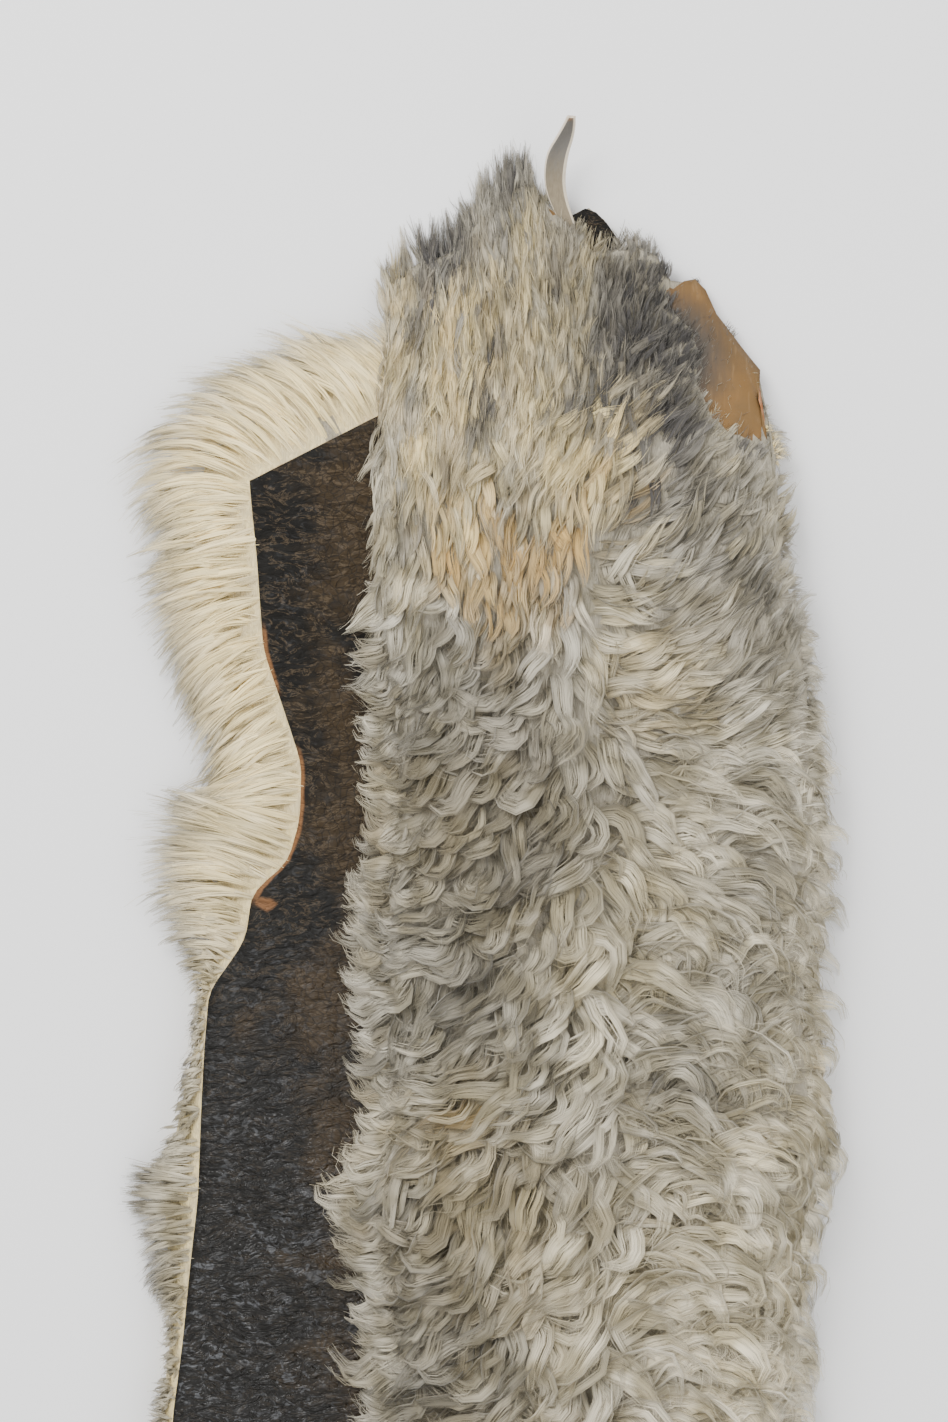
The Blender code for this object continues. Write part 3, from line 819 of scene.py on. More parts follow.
def tongue_materials(skin):
    """The tongue's upper side, its dark inner side and its pale cut edge."""
    s = Shader("tongue_skin", Roughness=0.8, Specular_IOR_Level=0.2)
    fuzz = s.streaks(s.object_place(), (900.0, 250.0, 250.0), 3.0)
    near = s.part(s.object_place(), "Y")
    beige = s.mixed(fuzz, (0.15, 0.122, 0.082), (0.30, 0.25, 0.17))
    beige = s.mixed(s.span(near + 0.02 * fuzz, 0.542, 0.572), beige, (0.15, 0.14, 0.125))
    line = s.attribute("cut_edge")
    line = s.span(line, 0.25, 0.55)
    beige = s.mixed(line, beige, (0.66, 0.58, 0.44))
    beige = s.mixed(s.span(near + 0.006 * fuzz, 0.574, 0.578), beige, (0.30, 0.16, 0.07))
    s.set("Base Color", beige)
    s.set("Normal", s.bump(fuzz, 0.6, 0.001))
    edge = Shader("tongue_edge", Roughness=0.8)
    pale = edge.noise(edge.object_place(), 300.0)
    edge.set("Base Color", edge.mixed(pale, (0.72, 0.66, 0.55), (0.62, 0.50, 0.36)))
    return s.material, leather_material(skin), edge.material


# The fleece's section past the leather's edge, as shares of fringe and depth
RimPoint = namedtuple("RimPoint", "outwards depth")
LOWER_RIM = rows_of(RimPoint, (0.28, 0.26), (0.50, 0.55), (0.54, 0.93))
UPPER_RIM = rows_of(RimPoint, (0.25, 0.06), (0.50, 0.24), (0.30, 0.76))


def fleece_rim(surface, wool):
    """Rim points from the leather's edge to the wool's face, as (step, ring
    place, 3), with the ring's rows and columns."""
    rows, columns = surface.ring()
    leather = surface.leather[rows, columns]
    through = wool[rows, columns] - leather
    fringe = surface.fringe(rows, columns)[:, None]
    outward = surface.outward(rows, columns)
    lower = (surface.layer[columns] == LOWER)[:, None]
    found = []
    for step, (low, high) in enumerate(zip(LOWER_RIM, UPPER_RIM), 1):
        out = np.where(lower, low.outwards, high.outwards)
        depth = np.where(lower, low.depth, high.depth)
        full = outward * fringe * out + through * depth
        bare = through * step / len(LOWER_RIM)
        found.append(leather + bare + (full - bare) * smooth(fringe / THIN_FRINGE))
    return np.stack(found), rows, columns


def fleece_grid(skin):
    """The fleece's grid, its face, and its rim with the ring's rows and columns."""
    surface = Skin(skin.fleece_step, FLEECE_TURNS)
    wool = surface.wool_points(skin.pile)
    rim, rows, columns = fleece_rim(surface, wool)
    wool[rows, columns] = rim[-1]
    return surface, wool, rim, rows, columns


def make_fleece(skin):
    """The closed lumpy body of matted wool that the locks grow from."""
    drop_old("fleece")
    surface, wool, rim, rows, columns = fleece_grid(skin)
    inner = surface.leather.copy()
    lift = np.where(surface.layer == UPPER, 1.0, np.where(surface.layer == LOWER, -1.0, 0.0))
    inner[..., 2] += FLEECE_OFFSET * lift
    bm = bmesh.new()
    number = bm.verts.layers.int.new("number")
    for i, vert in enumerate(grid_in(bm, inner)):
        vert[number] = i
    place_in_ring = {r * inner.shape[1] + c: i for i, (r, c) in enumerate(zip(rows, columns))}
    edges = [edge for edge in bm.edges if edge.is_boundary]
    for step in rim:
        made = bmesh.ops.extrude_edge_only(bm, edges=edges)["geom"]
        edges = [item for item in made if isinstance(item, bmesh.types.BMEdge)]
        edges = [edge for edge in edges if edge.is_boundary]
        for vert in {vert for edge in edges for vert in edge.verts}:
            vert.co = step[place_in_ring[vert[number]]]
    grid_in(bm, wool)
    bmesh.ops.remove_doubles(bm, verts=bm.verts, dist=0.00002)
    bmesh.ops.recalc_face_normals(bm, faces=bm.faces)
    for face in bm.faces:
        middle = face.calc_center_median()
        face.material_index = int(middle.x < -0.09 or (middle.x < -0.045 and middle.z < 0.017))
    mesh = smooth_mesh("fleece", bm)
    mesh.materials.append(fleece_material("matted_fleece", skin.root, skin.grey))
    mesh.materials.append(fleece_material("matted_fringe", (0.66, 0.55, 0.32), skin.cream))
    fleece = linked("fleece", mesh)
    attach(fleece, BODY)
    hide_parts(NODE)
    return fleece


# Locks


class Ground:
    """Heights of what lies under the locks, seen from above."""

    STEP = 0.004

    def __init__(self, names):
        bm = bmesh.new()
        for name in names:
            bm.from_mesh(bpy.data.objects[name].data)
        tree = BVHTree.FromBMesh(bm)
        bm.free()
        self.low = np.array([-0.28, -0.62])
        counts = np.ceil(-2 * self.low / self.STEP).astype(int)
        self.heights = np.zeros(counts)
        down = Vector((0, 0, -1))
        for i in range(counts[0]):
            for j in range(counts[1]):
                x, y = self.low + np.array([i, j]) * self.STEP
                hit = tree.ray_cast(Vector((x, y, 0.3)), down)[0]
                self.heights[i, j] = hit.z if hit else 0.0

    def __call__(self, x, y):
        at = (np.stack([x, y], axis=-1) - self.low) / self.STEP
        most = np.array(self.heights.shape) - 1.001
        at = np.clip(at, 0, most)
        cell = at.astype(int)
        part = at - cell
        i, j = cell[..., 0], cell[..., 1]
        u, v = part[..., 0], part[..., 1]
        h = self.heights
        near = h[i, j] * (1 - u) + h[i + 1, j] * u
        far = h[i, j + 1] * (1 - u) + h[i + 1, j + 1] * u
        return near * (1 - v) + far * v


def rooted_in(chance, corners, spacing):
    """Evenly spread places on four-cornered faces, corners (faces, 4, 3).
    Returns the places, the faces' normals and the faces' numbers."""
    first = corners[:, 2] - corners[:, 0]
    second = corners[:, 3] - corners[:, 1]
    across = np.cross(first, second)
    area = np.linalg.norm(across, axis=1) / 2
    wanted = area / spacing**2
    count = (wanted + chance.random(len(wanted))).astype(int)
    face = np.repeat(np.arange(len(corners)), count)
    u, v = chance.random((2, len(face), 1))
    c = corners[face]
    low = c[:, 0] * (1 - u) + c[:, 1] * u
    high = c[:, 3] * (1 - u) + c[:, 2] * u
    return low * (1 - v) + high * v, unit(across[face]), face


def quads(points):
    """Corners (faces, 4, 3) of a grid's faces, row by row."""
    found = [points[:-1, :-1], points[:-1, 1:], points[1:, 1:], points[1:, :-1]]
    return np.stack([corner.reshape(-1, 3) for corner in found], axis=1)


def combed(chance, roots):
    """The comb's columns at each root, as a dict of arrays."""
    across, down = across_down(roots)
    down = down + chance.normal(0, 21, len(roots))
    across = across + chance.normal(0, 9, len(roots))
    gap = np.hypot(
        across[:, None] - [comb.across for comb in COMBS],
        (down[:, None] - [comb.down for comb in COMBS]) * 0.8,
    )
    pull = np.exp(-((gap / COMB_REACH) ** 2)) + 1e-9
    pull = pull / pull.sum(axis=1, keepdims=True)
    found = {}
    for field in ("wave", "curl", "length", "radius", "lift"):
        found[field] = pull @ np.array([getattr(comb, field) for comb in COMBS], float)
    headings = np.radians([comb.heading for comb in COMBS])
    x, y = pull @ np.cos(headings), pull @ np.sin(headings)
    # Near the neck a lock lies the way of one comb, so none lies between two
    picked = (pull.cumsum(axis=1) < chance.random((len(roots), 1))).sum(axis=1)
    own = headings[np.minimum(picked, len(COMBS) - 1)]
    found["heading"] = np.where(down < ONE_COMB_DOWN, own, np.arctan2(y, x))
    return found


def tinted(roots):
    """Cream, dark and amber shares at each root, and what brightness to add as painted light and shade.
    """
    across, down = across_down(roots)
    found = np.zeros((len(roots), 4))
    for tint in TINTS:
        gap = np.hypot(across - tint.across, down - tint.down) / tint.radius
        share = np.exp(-(gap**2) * 1.2)[:, None]
        found += share * np.array(tint[3:])
    return found


def laid_paths(roots, heading, shape, ground, steps, fall=0.8):
    """Middles of locks that lie over the ground, as (locks, steps + 1, 3)."""
    place_now = roots.copy()
    path = [place_now.copy()]
    step = shape["length"] * MM / steps
    for i in range(steps):
        share = (i + 0.5) / steps
        swing = np.sin(2 * np.pi * shape["length"] * share / shape["pitch"] + shape["phase"])
        turn = heading + np.radians(shape["wave"]) * swing
        turn = turn + np.radians(shape["curl"]) * share**1.25
        along = np.stack([np.cos(turn), np.sin(turn)], axis=-1)
        ahead = place_now[:, :2] + along * step[:, None]
        lift = shape["lift"] * MM * (0.25 + 0.95 * math.sin(math.pi * min(1.0, share * 1.05)))
        target = ground(ahead[:, 0], ahead[:, 1]) + lift
        change = np.clip(target - place_now[:, 2], -fall * step, STEEPEST_RISE * step)
        level = np.sqrt(np.maximum(step**2 - change**2, (0.25 * step) ** 2))
        place_now[:, :2] += along * level[:, None]
        place_now[:, 2] = np.maximum(place_now[:, 2] + change, LOWEST_PATH)
        path.append(place_now.copy())
    return np.stack(path, axis=1)


class Bands:
    """Bands and strands of hair gathered into one mesh. Its strand map runs
    across and along each, fibre holds its colour and feather how thick it is."""

    def __init__(self):
        self.points = []
        self.faces = []
        self.maps = []
        self.fibres = []
        self.feathers = []
        self.count = 0

    def add(self, points, across, fibre, feather):
        """Adds bands with points (bands, steps, columns, 3)."""
        shape = points.shape[:3]
        number = self.count + np.arange(math.prod(shape)).reshape(shape)
        near, far = number[:, :-1], number[:, 1:]
        faces = [near[..., :-1], near[..., 1:], far[..., 1:], far[..., :-1]]
        along = np.linspace(0, 1, shape[1])[None, :, None]
        maps = np.stack(np.broadcast_arrays(across, along, np.zeros(shape))[:2], axis=-1)
        self.points.append(points.reshape(-1, 3))
        self.faces.append(np.stack(faces, axis=-1).reshape(-1, 4))
        self.maps.append(maps.reshape(-1, 2))
        self.fibres.append(np.broadcast_to(fibre[:, :, None], (*shape, 4)).reshape(-1, 4))
        self.feathers.append(np.broadcast_to(feather, shape).ravel())
        self.count += math.prod(shape)

    def mesh(self, name):
        points, faces = np.concatenate(self.points), np.concatenate(self.faces)
        mesh = bpy.data.meshes.new(name)
        mesh.vertices.add(len(points))
        mesh.vertices.foreach_set("co", points.astype(np.float32).ravel())
        mesh.loops.add(faces.size)
        mesh.loops.foreach_set("vertex_index", faces.astype(np.int32).ravel())
        mesh.polygons.add(len(faces))
        mesh.polygons.foreach_set("loop_start", np.arange(0, faces.size, 4, dtype=np.int32))
        mesh.polygons.foreach_set("use_smooth", np.ones(len(faces), bool))
        mesh.update(calc_edges=True)
        layer = mesh.uv_layers.new(name="strand")
        maps = np.concatenate(self.maps)[faces.ravel()]
        layer.uv.foreach_set("vector", maps.astype(np.float32).ravel())
        store = mesh.attributes.new("fibre", "FLOAT_COLOR", "POINT")
        values = np.clip(np.concatenate(self.fibres), 0, 2)
        store.data.foreach_set("color", values.astype(np.float32).ravel())
        store = mesh.attributes.new("feather", "FLOAT", "POINT")
        values = np.concatenate(self.feathers)
        store.data.foreach_set("value", values.astype(np.float32).ravel())
        return mesh


def add_locks(chance, bands, paths, normals, radius, bundle, fibre, twist=0.5, root=0.1):
    """Adds locks round the paths (locks, steps + 1, 3) to the bands. Fibre is
    a function that gives the colours of that many parts of every lock."""
    locks, points = paths.shape[:2]
    along = np.linspace(0, 1, points)
    tangent = unit(np.gradient(paths, axis=1))
    side = unit(np.cross(tangent, normals[:, None, :] + 1e-6))[:, None, :, None]
    up = np.cross(side, tangent[:, None, :, None])
    taper = np.interp(along, [0, 0.3, 0.65, 1], [0.75 - 0.4 * root, 1.0, 0.8, 0.22])
    turn = chance.uniform(-twist, twist, (locks, 1, 1, 1)) * along[:, None]
    span = paths[:, None, -1:, None] - paths[:, None, :1, None]

    def wound(angle, out, slide):
        reach = radius[:, None, None, None] * MM * out * taper[:, None]
        right, rise = np.sin(angle) * reach, np.cos(angle) * reach * bundle.flatness
        return paths[:, None, :, None] + side * right[..., None] + up * rise[..., None] + slide * span

    count = bundle.bands
    middle = np.radians(np.linspace(-52, 52, count) if count > 1 else np.zeros(1))
    middle = middle + np.radians(chance.uniform(-22, 22, (locks, count)))
    columns = np.linspace(-1, 1, BAND_COLUMNS + 1)
    angle = middle[..., None, None] + columns * np.radians(56) + turn
    out = chance.uniform(0.72, 1.08, (locks, count, 1, 1))
    slide = chance.uniform(-0.10, 0.10, (locks, count, 1, 1, 1))
    made = wound(angle, out, slide)
    made[..., 2] = np.maximum(made[..., 2], LOWEST_HAIR)
    offset = chance.uniform(0, 60, (locks, count, 1, 1))
    across = offset + columns * radius[:, None, None, None] * 0.1
    ends = np.interp(along, [0, 0.15, 0.6, 1], [root, 1, 1, 0.1])[:, None]
    feather = ends * (0.15 + 0.85 * (1 - np.abs(columns)) ** 0.6)
    shape = (locks * count, points, BAND_COLUMNS + 1)
    across = np.broadcast_to(across, (locks, count, points, BAND_COLUMNS + 1))
    bands.add(made.reshape(*shape, 3), across.reshape(shape), fibre(count), feather)

    count = bundle.strands
    angle = np.radians(chance.uniform(-115, 115, (locks, count, 1, 1))) + turn * 1.6
    made = wound(angle, chance.uniform(0.7, 1.25, (locks, count, 1, 1)),
                 chance.uniform(-0.12, 0.14, (locks, count, 1, 1, 1)))
    stray = chance.normal(0, 1, (locks, count, 1, 1, 3)) * bundle.scatter * MM
    made = made + stray * (along**1.6)[:, None, None]
    wide = side * np.cos(angle)[..., None] - up * (np.sin(angle) * 0.8)[..., None]
    thin = np.interp(along, [0, 0.2, 0.6, 1], [0.3, 1.0, 0.9, 0.3]) * STRAND_WIDTH * MM / 2
    wide = unit(wide) * thin[:, None, None]
    made = np.concatenate([made - wide, made + wide], axis=3)
    made[..., 2] = np.maximum(made[..., 2], LOWEST_HAIR)
    shape = (locks * count, points, 2)
    across = np.broadcast_to(chance.uniform(0, 60, (locks * count, 1, 1)), shape)
    bands.add(made.reshape(*shape, 3), across, fibre(count), np.full(1, bundle.thickness))


def fibres(chance, shares, steps, painted_root_shade=0.3, spread=0.10, tip=None):
    """A function that gives cream, dark, amber and brightness at each step of every part of a lock. The
    brightness is each lock's own tone with painted light and shade, and painted shade towards the root."""
    locks = len(shares)
    along = np.linspace(0, 1, steps + 1)
    # Each lock's own tone, which differs at random, with the painted light and shade that its tints and
    # patches add
    lock_tone_and_light = 1 + chance.normal(0, spread, (locks, 1, 1)) + shares[:, 3, None, None]
    shares = np.clip(shares[:, :3], 0, 1)
    # Painted shade: each lock is darker towards its root
    depth = 1 - painted_root_shade * (1 - smooth(along / 0.5))

    def found(parts):
        tone = lock_tone_and_light * (1 + chance.normal(0, spread * 0.6, (locks, parts, 1))) * depth
        own = shares[:, None, None, :] * chance.uniform(0.75, 1.2, (locks, parts, 1, 1))
        own = np.broadcast_to(own, (locks, parts, steps + 1, 3)).copy()
        if tip is not None:
            own[..., 0] *= 1 - 0.9 * tip(along)
            own[..., 1] += 0.72 * tip(along) * chance.uniform(0.2, 1.1, (locks, parts, 1))
        tone = np.clip(tone, 0.4, 1.4)[..., None]
        return np.concatenate([own, tone], axis=-1).reshape(locks * parts, steps + 1, 4)

    return found


def add_strands(name, material, chance, *lock_settings):
    """A piece of the locks that add_locks makes with these settings."""
    drop_old(name)
    bands = Bands()
    add_locks(chance, bands, *lock_settings)
    mesh = bands.mesh(name)
    mesh.materials.append(material)
    made = linked(name, mesh)
    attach(made, BODY)
    return made


def scaled_shape(chance, shape, size):
    """The comb's columns with each lock's own variety and waves added."""
    count = len(shape["length"])
    found = dict(shape)
    found["length"] = shape["length"] * size * chance.uniform(0.75, 1.2, count)
    found["radius"] = shape["radius"] * chance.uniform(0.95, 1.5, count)
    found["curl"] = shape["curl"] * chance.uniform(0.7, 1.2, count)
    found["lift"] = shape["lift"] * chance.uniform(0.4, 1.5, count)
    found["pitch"] = chance.uniform(34, 52, count)
    found["phase"] = chance.uniform(0, 2 * np.pi, count)
    return found


def make_locks(skin):
    """The upper layer's locks, straight at the neck and curled to the tail."""
    chance = np.random.default_rng(skin.seed)
    surface, wool, *_ = fleece_grid(skin)
    ground = Ground(["fleece", "hide"])
    upper = np.flatnonzero(surface.layer == UPPER)
    corners = quads(wool[:, upper[0] - 2:])
    material = wool_material(skin)
    zones = (
        ("locks_neck", -50, 205, NECK_BUNDLE),
        ("locks_shoulder", 205, 430, CURL_BUNDLE),
        ("locks_back", 430, 650, CURL_BUNDLE),
        ("locks_flank", 650, 870, CURL_BUNDLE),
        ("locks_rump", 870, 1200, CURL_BUNDLE),
    )
    _, centre_down = across_down(corners.mean(axis=1))
    for name, start, end, bundle in zones:
        inside = corners[(centre_down >= start) & (centre_down < end)]
        roots, normals, _ = rooted_in(chance, inside, bundle.spacing * MM * skin.lock_spacing)
        cover = wool_cover(*across_down(roots))
        keep = chance.random(len(roots)) < 0.35 + cover
        roots, normals, cover = roots[keep], normals[keep], cover[keep]
        shape = scaled_shape(chance, combed(chance, roots), skin.lock_length)
        shape["length"] = shape["length"] * (0.30 + 0.70 * cover)
        shape["lift"] = shape["lift"] * (0.2 + 0.8 * cover)
        swirl = noise_at(roots, 0.055, 11.0)
        across, down = across_down(roots)
        calm = smooth((down - 150) / 250)
        free = smooth((down - 270) / 170)
        heading = shape["heading"] + swirl * (0.22 + 0.98 * free)
        heading = heading + chance.normal(0, 0.12 + 0.05 * calm, len(roots))
        paths = laid_paths(roots, heading, shape, ground, bundle.steps)
        shares = tinted(roots)
        patchy = noise_at(roots, 0.016, 21.0, (1.0, 0.45, 1.0))
        patchy = 0.7 * patchy + 0.9 * noise_at(roots, 0.034, 13.0, (1.0, 0.5, 1.0))
        neck = 1 - calm
        shares[:, 0] += 1.5 * neck * np.maximum(patchy, 0) - 0.8 * neck * np.maximum(-patchy, 0)
        shares[:, 0] += chance.normal(0, 1, len(roots)) * (0.05 + 0.09 * neck)
        # Painted light and shade: broad lighter and darker patches over the curls, with painted shade
        # in the hollows on the open side
        light_and_shade_patches = 0.26 * noise_at(roots, 0.05, 41.0) + 0.12 * noise_at(roots, 0.021, 4.0)
        open_side = smooth((310 - across) / 90)
        shares[:, 3] += (light_and_shade_patches - 0.14 - 0.20 * open_side) * calm
        shares[:, 1] += 1.5 * neck * np.maximum(-patchy - 0.08, 0)
        shares[:, 2] *= np.clip(0.7 + 2.2 * noise_at(roots, 0.011, 5.0, (1.0, 0.4, 1.0)), 0, 1.6)
        # How much painted shade darkens the locks towards their roots
        painted_root_shade = 0.08 if bundle is NECK_BUNDLE else 0.26
        fibre = fibres(chance, shares, bundle.steps, painted_root_shade, 0.08)
        add_strands(name, material, chance, paths, normals, shape["radius"], bundle, fibre)


def make_fold_locks(skin):
    """Locks on the fold's side, and those that hang over the upper edges."""
    chance = np.random.default_rng(skin.seed + 1)
    surface, wool, rim, rows, columns = fleece_grid(skin)
    ground = Ground(["fleece", "hide"])
    material = bpy.data.materials["wool_fibres"]
    fold = np.flatnonzero(surface.layer == FOLDED)
    roots, normals, _ = rooted_in(
        chance, quads(wool[:, fold[0] - 1:fold[-1]]), FOLD_BUNDLE.spacing * MM * skin.lock_spacing
    )
    shape = scaled_shape(chance, combed(chance, roots), 0.46 * skin.lock_length)
    shape["lift"] = shape["lift"] * 0.4
    heading = chance.normal(0.15, 0.75, len(roots))
    paths = laid_paths(roots, heading, shape, ground, FOLD_BUNDLE.steps, fall=0.75)
    shares = tinted(roots) + chance.normal(0, 0.05, (len(roots), 4))
    shares[:, 3] -= 0.06
    fibre = fibres(chance, shares, FOLD_BUNDLE.steps)
    settings = (paths, normals, shape["radius"], FOLD_BUNDLE, fibre)
    add_strands("locks_fold", material, chance, *settings)

    edge = surface.leather[rows, columns][None]
    band = np.concatenate([edge, rim])
    picked = np.flatnonzero((surface.layer[columns] == UPPER) & (surface.fringe(rows, columns) > 0.006))
    corners, outward, fringe = rim_quads(surface, band, rows, columns, picked)
    roots, normals, face = rooted_in(chance, corners, EDGE_BUNDLE.spacing * MM * skin.lock_spacing)
    outward, fringe = outward[face], fringe[face]
    across, down = across_down(roots)
    combed_down = smooth((across - 215) / 10 + (110 - down) / 10 + smooth((down - 300) / 60))
    shape = scaled_shape(chance, combed(chance, roots), 0.8 * skin.lock_length)
    shape["length"] = np.minimum(shape["length"], fringe / MM * 1.2 + 14 + 8 * combed_down)
    shape["lift"] = shape["lift"] * 0.5
    lean = np.stack([np.cos(shape["heading"]), np.sin(shape["heading"])], axis=-1)
    outwards = 0.10 + 0.40 * combed_down
    way = unit(outward[:, :2] * outwards[:, None] + lean * 1.2)
    stray = chance.normal(0, 1, len(roots)) * (0.12 + 0.16 * combed_down)
    heading = np.arctan2(way[:, 1], way[:, 0]) + stray
    shape["curl"] = shape["curl"] * 1.35
    paths = laid_paths(roots, heading, shape, ground, EDGE_BUNDLE.steps, fall=0.6)
    shares = tinted(roots) + chance.normal(0, 0.05, (len(roots), 4))
    shares[:, 3] -= 0.12
    fibre = fibres(chance, shares, EDGE_BUNDLE.steps, 0.2)
    over = UP_DIRECTION + outward * 0.4
    settings = (paths, over, shape["radius"], EDGE_BUNDLE, fibre)
    add_strands("locks_edge", material, chance, *settings)


def rim_quads(surface, band, rows, columns, picked):
    """Faces of the rim's band at the picked places of the ring, with their
    outward direction and fringe."""
    after = (picked + 1) % band.shape[1]
    outward = surface.outward(rows, columns)
    fringe = surface.fringe(rows, columns)
    found = []
    for low, high in zip(band[:-1], band[1:]):
        found.append(np.stack([low[picked], low[after], high[after], high[picked]], axis=1))
    steps = len(band) - 1
    return np.concatenate(found), np.tile(outward[picked], (steps, 1)), np.tile(fringe[picked], steps)


def make_fringe(skin):
    """The long straight fringe round the lower layer, cream at its roots."""
    chance = np.random.default_rng(skin.seed + 2)
    surface = Skin(skin.hide_step, HIDE_TURNS)
    rows, columns = surface.ring()
    kinds = surface.layer[columns]
    fringe = surface.fringe(rows, columns)
    outward = surface.outward(rows, columns)
    edge = surface.leather[rows, columns]
    gaps = np.linalg.norm(np.roll(edge, -1, axis=0) - edge, axis=1)
    thick = np.where((kinds != UPPER) & (fringe > 0.003), gaps, 0.0)
    place_on = np.cumsum(thick) / thick.sum()
    count = int(thick.sum() / (FRINGE.spacing * MM) * FRINGE.layers)
    at = np.searchsorted(place_on, chance.random(count))
    at = np.minimum(at, len(edge) - 1)
    fringe, outward = fringe[at], unit(outward[at] * np.array([1, 1, 0]) + 1e-9)
    start = -0.03 + 0.58 * chance.random(count) ** 1.7
    sunk = chance.random(count) ** 2
    end = np.maximum(start + 0.45, chance.uniform(0.86, 1.04, count))
    roots = edge[at] - np.array([0, 0, 0.0018])
    clump = noise_at(roots, 0.016, 31.0) * smooth((0.055 - fringe) / 0.03)
    end = np.maximum(start + 0.35, end * (0.92 + 0.55 * clump))
    depth = roots[:, 2]
    heading = np.arctan2(outward[:, 1], outward[:, 0]) + chance.normal(0, 0.12, count)
    small = smooth((0.04 - fringe) / 0.03)
    short = 1.0 + 0.7 * small
    heading = heading + chance.normal(0, 0.46, count) * small
    bend = FRINGE.bend * short * (0.8 + 0.9 * noise_at(roots, 0.05, 3.0))
    bend = bend * np.where(outward[:, 0] < 0.3, 1, -1)
    steps = FRINGE.steps
    stretch = 1 + 0.26 * smooth((fringe - 0.03) / 0.02)
    stretch = stretch * (1 + 0.30 * smooth((outward[:, 1] - 0.15) / 0.4))
    points = []
    flat = roots.copy()
    last = None
    for i in range(steps + 1):
        out = start + (end - start) * i / steps
        turn = heading + bend * np.maximum(out, 0) ** 1.4
        way = np.stack([np.cos(turn), np.sin(turn), np.zeros(count)], axis=-1)
        step = out if last is None else out - last
        flat = flat + way * (fringe * step * stretch)[:, None]
        last = out
        fall = np.interp(out, [0, 0.4, 0.75, 0.95, 1.1], [0, -0.10, 0.16, 0.62, 0.94])
        fall = fall + (1 - fall) * 0.45 * sunk * smooth((out - 0.05) / 0.4)
        fall = fall + 0.30 * smooth(start / 0.1) * (1 - smooth(i / steps / 0.4))
        point = flat.copy()
        under = 0.0020 * (1 - smooth((out + 0.03) / 0.12))
        point[:, 2] = np.maximum(depth * (1 - fall) - under, LOWEST_PATH)
        points.append(point)
    paths = np.stack(points, axis=1)
    radius = chance.uniform(2.6, 4.8, count) * np.clip(fringe / 0.05, 0.45, 1.0)
    down = across_down(roots)[1]
    cream = np.interp(down, [200, 380, 500, 560, 1100], [1.0, 0.95, 0.70, 0.20, 0.12])
    pale = np.interp(down, [200, 380, 500, 560, 1100], [0.18, 0.10, 0.0, -0.20, -0.30])
    cream = cream * (1 - 0.25 * smooth((start - 0.1) / 0.4)) * (1 - 0.3 * sunk)
    shares = np.stack([cream, np.zeros(count), np.full(count, 0.03), pale], axis=-1)

    def tip(along):
        out = start[:, None, None] + (end - start)[:, None, None] * along
        return 0.55 * smooth((out - 0.35) / 0.5) + 0.45 * smooth((out - 0.72) / 0.22)

    fibre = fibres(chance, shares, steps, 0.08, 0.07, tip)
    bundle = Bundle(0, 1, 4, steps, 0.35, 1.6, 0.55)
    settings = (paths, np.tile(UP_DIRECTION, (count, 1)), radius, bundle, fibre, 0.2, 0.8)
    add_strands("fringe", bpy.data.materials["wool_fibres"], chance, *settings)


def make_stage(skin):
    """A pale floor, soft studio lights and the camera straight above."""
    for name in ("floor", "key_light", "fill_light", "camera"):
        drop_old(name)
    bm = bmesh.new()
    bmesh.ops.create_grid(bm, x_segments=1, y_segments=1, size=6.0)
    mesh = bpy.data.meshes.new("floor")
    bm.to_mesh(mesh)
    bm.free()
    mesh.materials.append(floor_material())
    linked("floor", mesh)
    world = bpy.data.worlds.new("studio")
    world.use_nodes = True
    world.node_tree.nodes["Background"].inputs["Color"].default_value = (1.0, 1.0, 1.0, 1.0)
    world.node_tree.nodes["Background"].inputs["Strength"].default_value = skin.ambient
    bpy.context.scene.world = world
    lamps = (
        ("key_light", (-1.1, 1.7, 2.3), 1.4, skin.key_power),
        ("fill_light", (1.9, -0.6, 2.0), 2.2, skin.fill_power),
    )
    for name, where, size, power in lamps:
        lamp = bpy.data.lights.new(name, "AREA")
        lamp.size = size
        lamp.energy = power
        holder = linked(name, lamp)
        holder.location = where
        aim = Vector((0, 0.1, 0)) - Vector(where)
        holder.rotation_euler = aim.to_track_quat("-Z", "Y").to_euler()
    lens = bpy.data.cameras.new("camera")
    lens.lens = LENS
    camera = linked("camera", lens)
    distance = VIEW_HEIGHT * VIEW_SCALE * MM * lens.lens / lens.sensor_width
    across = VIEW_WIDTH / 2 * VIEW_SCALE + VIEW_ACROSS
    middle = place(across, VIEW_HEIGHT / 2 * VIEW_SCALE + VIEW_DOWN, VIEW_MIDDLE)
    camera.location = Vector(middle) + Vector((0, 0, distance))
    camera.rotation_euler = (0, 0, 0)
    bpy.context.scene.camera = camera


# The add-on


def tone(name, words, default):
    return bpy.props.FloatVectorProperty(
        name=name, description=words, default=default, subtype="COLOR", min=0.0, max=1.0
    )


def distance(name, words, default):
    return bpy.props.FloatProperty(
        name=name, description=words, default=default, subtype="DISTANCE", unit="LENGTH",
        min=0.0001,
    )


def factor(name, words, default, low=0.1, high=3.0):
    return bpy.props.FloatProperty(
        name=name, description=words, default=default, min=low, max=high, subtype="FACTOR"
    )


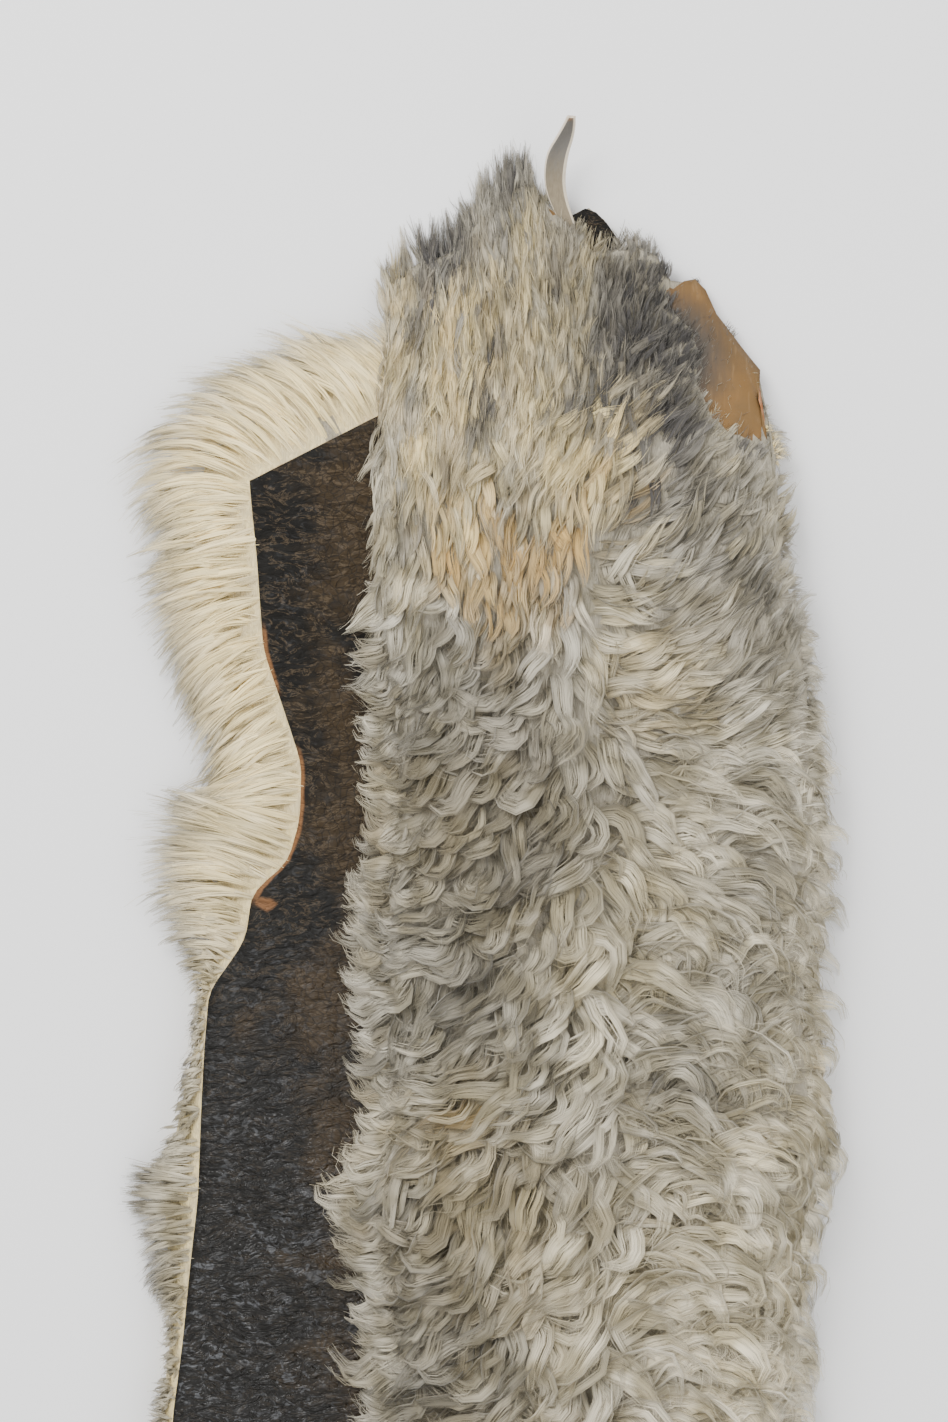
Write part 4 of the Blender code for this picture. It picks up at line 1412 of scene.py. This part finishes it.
class SheepskinSettings(bpy.types.PropertyGroup):
    """Sizes and colours of the sheepskin that a user may change."""

    hide_thickness: distance("Hide thickness", "Thickness of the tanned hide", 0.0022)
    hide_step: distance("Hide step", "Distance between the hide's points", 0.0070)
    fleece_step: distance("Fleece step", "Distance between the fleece's points", 0.0100)
    pile: distance("Pile", "Depth of the locks over the matted fleece", 0.0085)
    lock_length: factor("Lock length", "How long the locks are for their place", 1.0)
    lock_spacing: factor("Lock spacing", "How far apart the locks root", 1.0, 0.8)
    grey: tone("Grey wool", "Colour of the darker grey wool", (0.285, 0.255, 0.182))
    silver: tone("Silver wool", "Colour of the paler grey wool and tips", (0.60, 0.552, 0.438))
    cream: tone("Cream wool", "Colour of the cream locks and roots", (0.88, 0.72, 0.365))
    amber: tone("Amber wool", "Colour of the sun-bleached locks", (0.66, 0.43, 0.15))
    dark: tone("Dark wool", "Colour of the charcoal patch and grey tips", (0.085, 0.078, 0.072))
    root: tone("Matted wool", "Colour deep between the locks", (0.36, 0.325, 0.255))
    tan: tone("Tan skin", "Colour of the shorn outer side", (0.130, 0.072, 0.022))
    leather_dark: tone("Leather", "Colour of the inner side", (0.0050, 0.0043, 0.0032))
    leather_brown: tone("Leather mottle", "Colour of its browner parts", (0.031, 0.020, 0.009))
    ambient: factor("Ambient light", "Strength of the light from all round", 1.35)
    key_power: factor("Key light", "Power of the main lamp, in watts", 85.0, 1.0, 500.0)
    fill_power: factor("Fill light", "Power of the fill lamp, in watts", 25.0, 1.0, 500.0)
    seed: bpy.props.IntProperty(
        name="Seed", description="Which random arrangement of locks", default=7, min=0
    )


class SHEEPSKIN_OT_stage(bpy.types.Operator):
    """Make the floor, the lights and the camera"""

    bl_idname = "sheepskin.stage"
    bl_label = "Stage"

    def execute(self, context):
        make_stage(context.scene.sheepskin)
        return {"FINISHED"}


class SHEEPSKIN_OT_hide(bpy.types.Operator):
    """Make the folded hide and its tongue"""

    bl_idname = "sheepskin.hide"
    bl_label = "Hide"

    def execute(self, context):
        skin = context.scene.sheepskin
        hide = make_hide(skin)
        tongue = make_tongue(skin)
        return {"FINISHED"}


class SHEEPSKIN_OT_fleece(bpy.types.Operator):
    """Make the matted fleece under the locks"""

    bl_idname = "sheepskin.fleece"
    bl_label = "Fleece"

    def execute(self, context):
        make_fleece(context.scene.sheepskin)
        return {"FINISHED"}


class SHEEPSKIN_OT_locks(bpy.types.Operator):
    """Make the locks of the upper layer"""

    bl_idname = "sheepskin.locks"
    bl_label = "Upper locks"

    def execute(self, context):
        make_locks(context.scene.sheepskin)
        return {"FINISHED"}


class SHEEPSKIN_OT_fold_locks(bpy.types.Operator):
    """Make the locks on the fold and over the upper edges"""

    bl_idname = "sheepskin.fold_locks"
    bl_label = "Fold and edge locks"

    def execute(self, context):
        make_fold_locks(context.scene.sheepskin)
        return {"FINISHED"}


class SHEEPSKIN_OT_fringe(bpy.types.Operator):
    """Make the long fringe round the lower layer"""

    bl_idname = "sheepskin.fringe"
    bl_label = "Lower fringe"

    def execute(self, context):
        make_fringe(context.scene.sheepskin)
        return {"FINISHED"}


class SHEEPSKIN_PT_panel(bpy.types.Panel):
    """Lists the sheepskin's pieces and settings"""

    bl_idname = "SHEEPSKIN_PT_panel"
    bl_label = "Sheepskin"
    bl_space_type = "VIEW_3D"
    bl_region_type = "UI"
    bl_category = "Sheepskin"

    def draw(self, context):
        for operator in OPERATORS:
            self.layout.operator(operator.bl_idname)
        for name in SheepskinSettings.__annotations__:
            self.layout.prop(context.scene.sheepskin, name)


OPERATORS = (
    SHEEPSKIN_OT_stage,
    SHEEPSKIN_OT_hide,
    SHEEPSKIN_OT_fleece,
    SHEEPSKIN_OT_locks,
    SHEEPSKIN_OT_fold_locks,
    SHEEPSKIN_OT_fringe,
)


def register():
    for item in (SheepskinSettings, *OPERATORS, SHEEPSKIN_PT_panel):
        bpy.utils.register_class(item)
    bpy.types.Scene.sheepskin = bpy.props.PointerProperty(type=SheepskinSettings)


def unregister():
    del bpy.types.Scene.sheepskin
    for item in reversed((SheepskinSettings, *OPERATORS, SHEEPSKIN_PT_panel)):
        bpy.utils.unregister_class(item)


def main():
    register()
    bpy.ops.sheepskin.stage()
    bpy.ops.sheepskin.hide()
    bpy.ops.sheepskin.fleece()
    bpy.ops.sheepskin.locks()
    bpy.ops.sheepskin.fold_locks()
    bpy.ops.sheepskin.fringe()


if __name__ == "__main__":
    main()
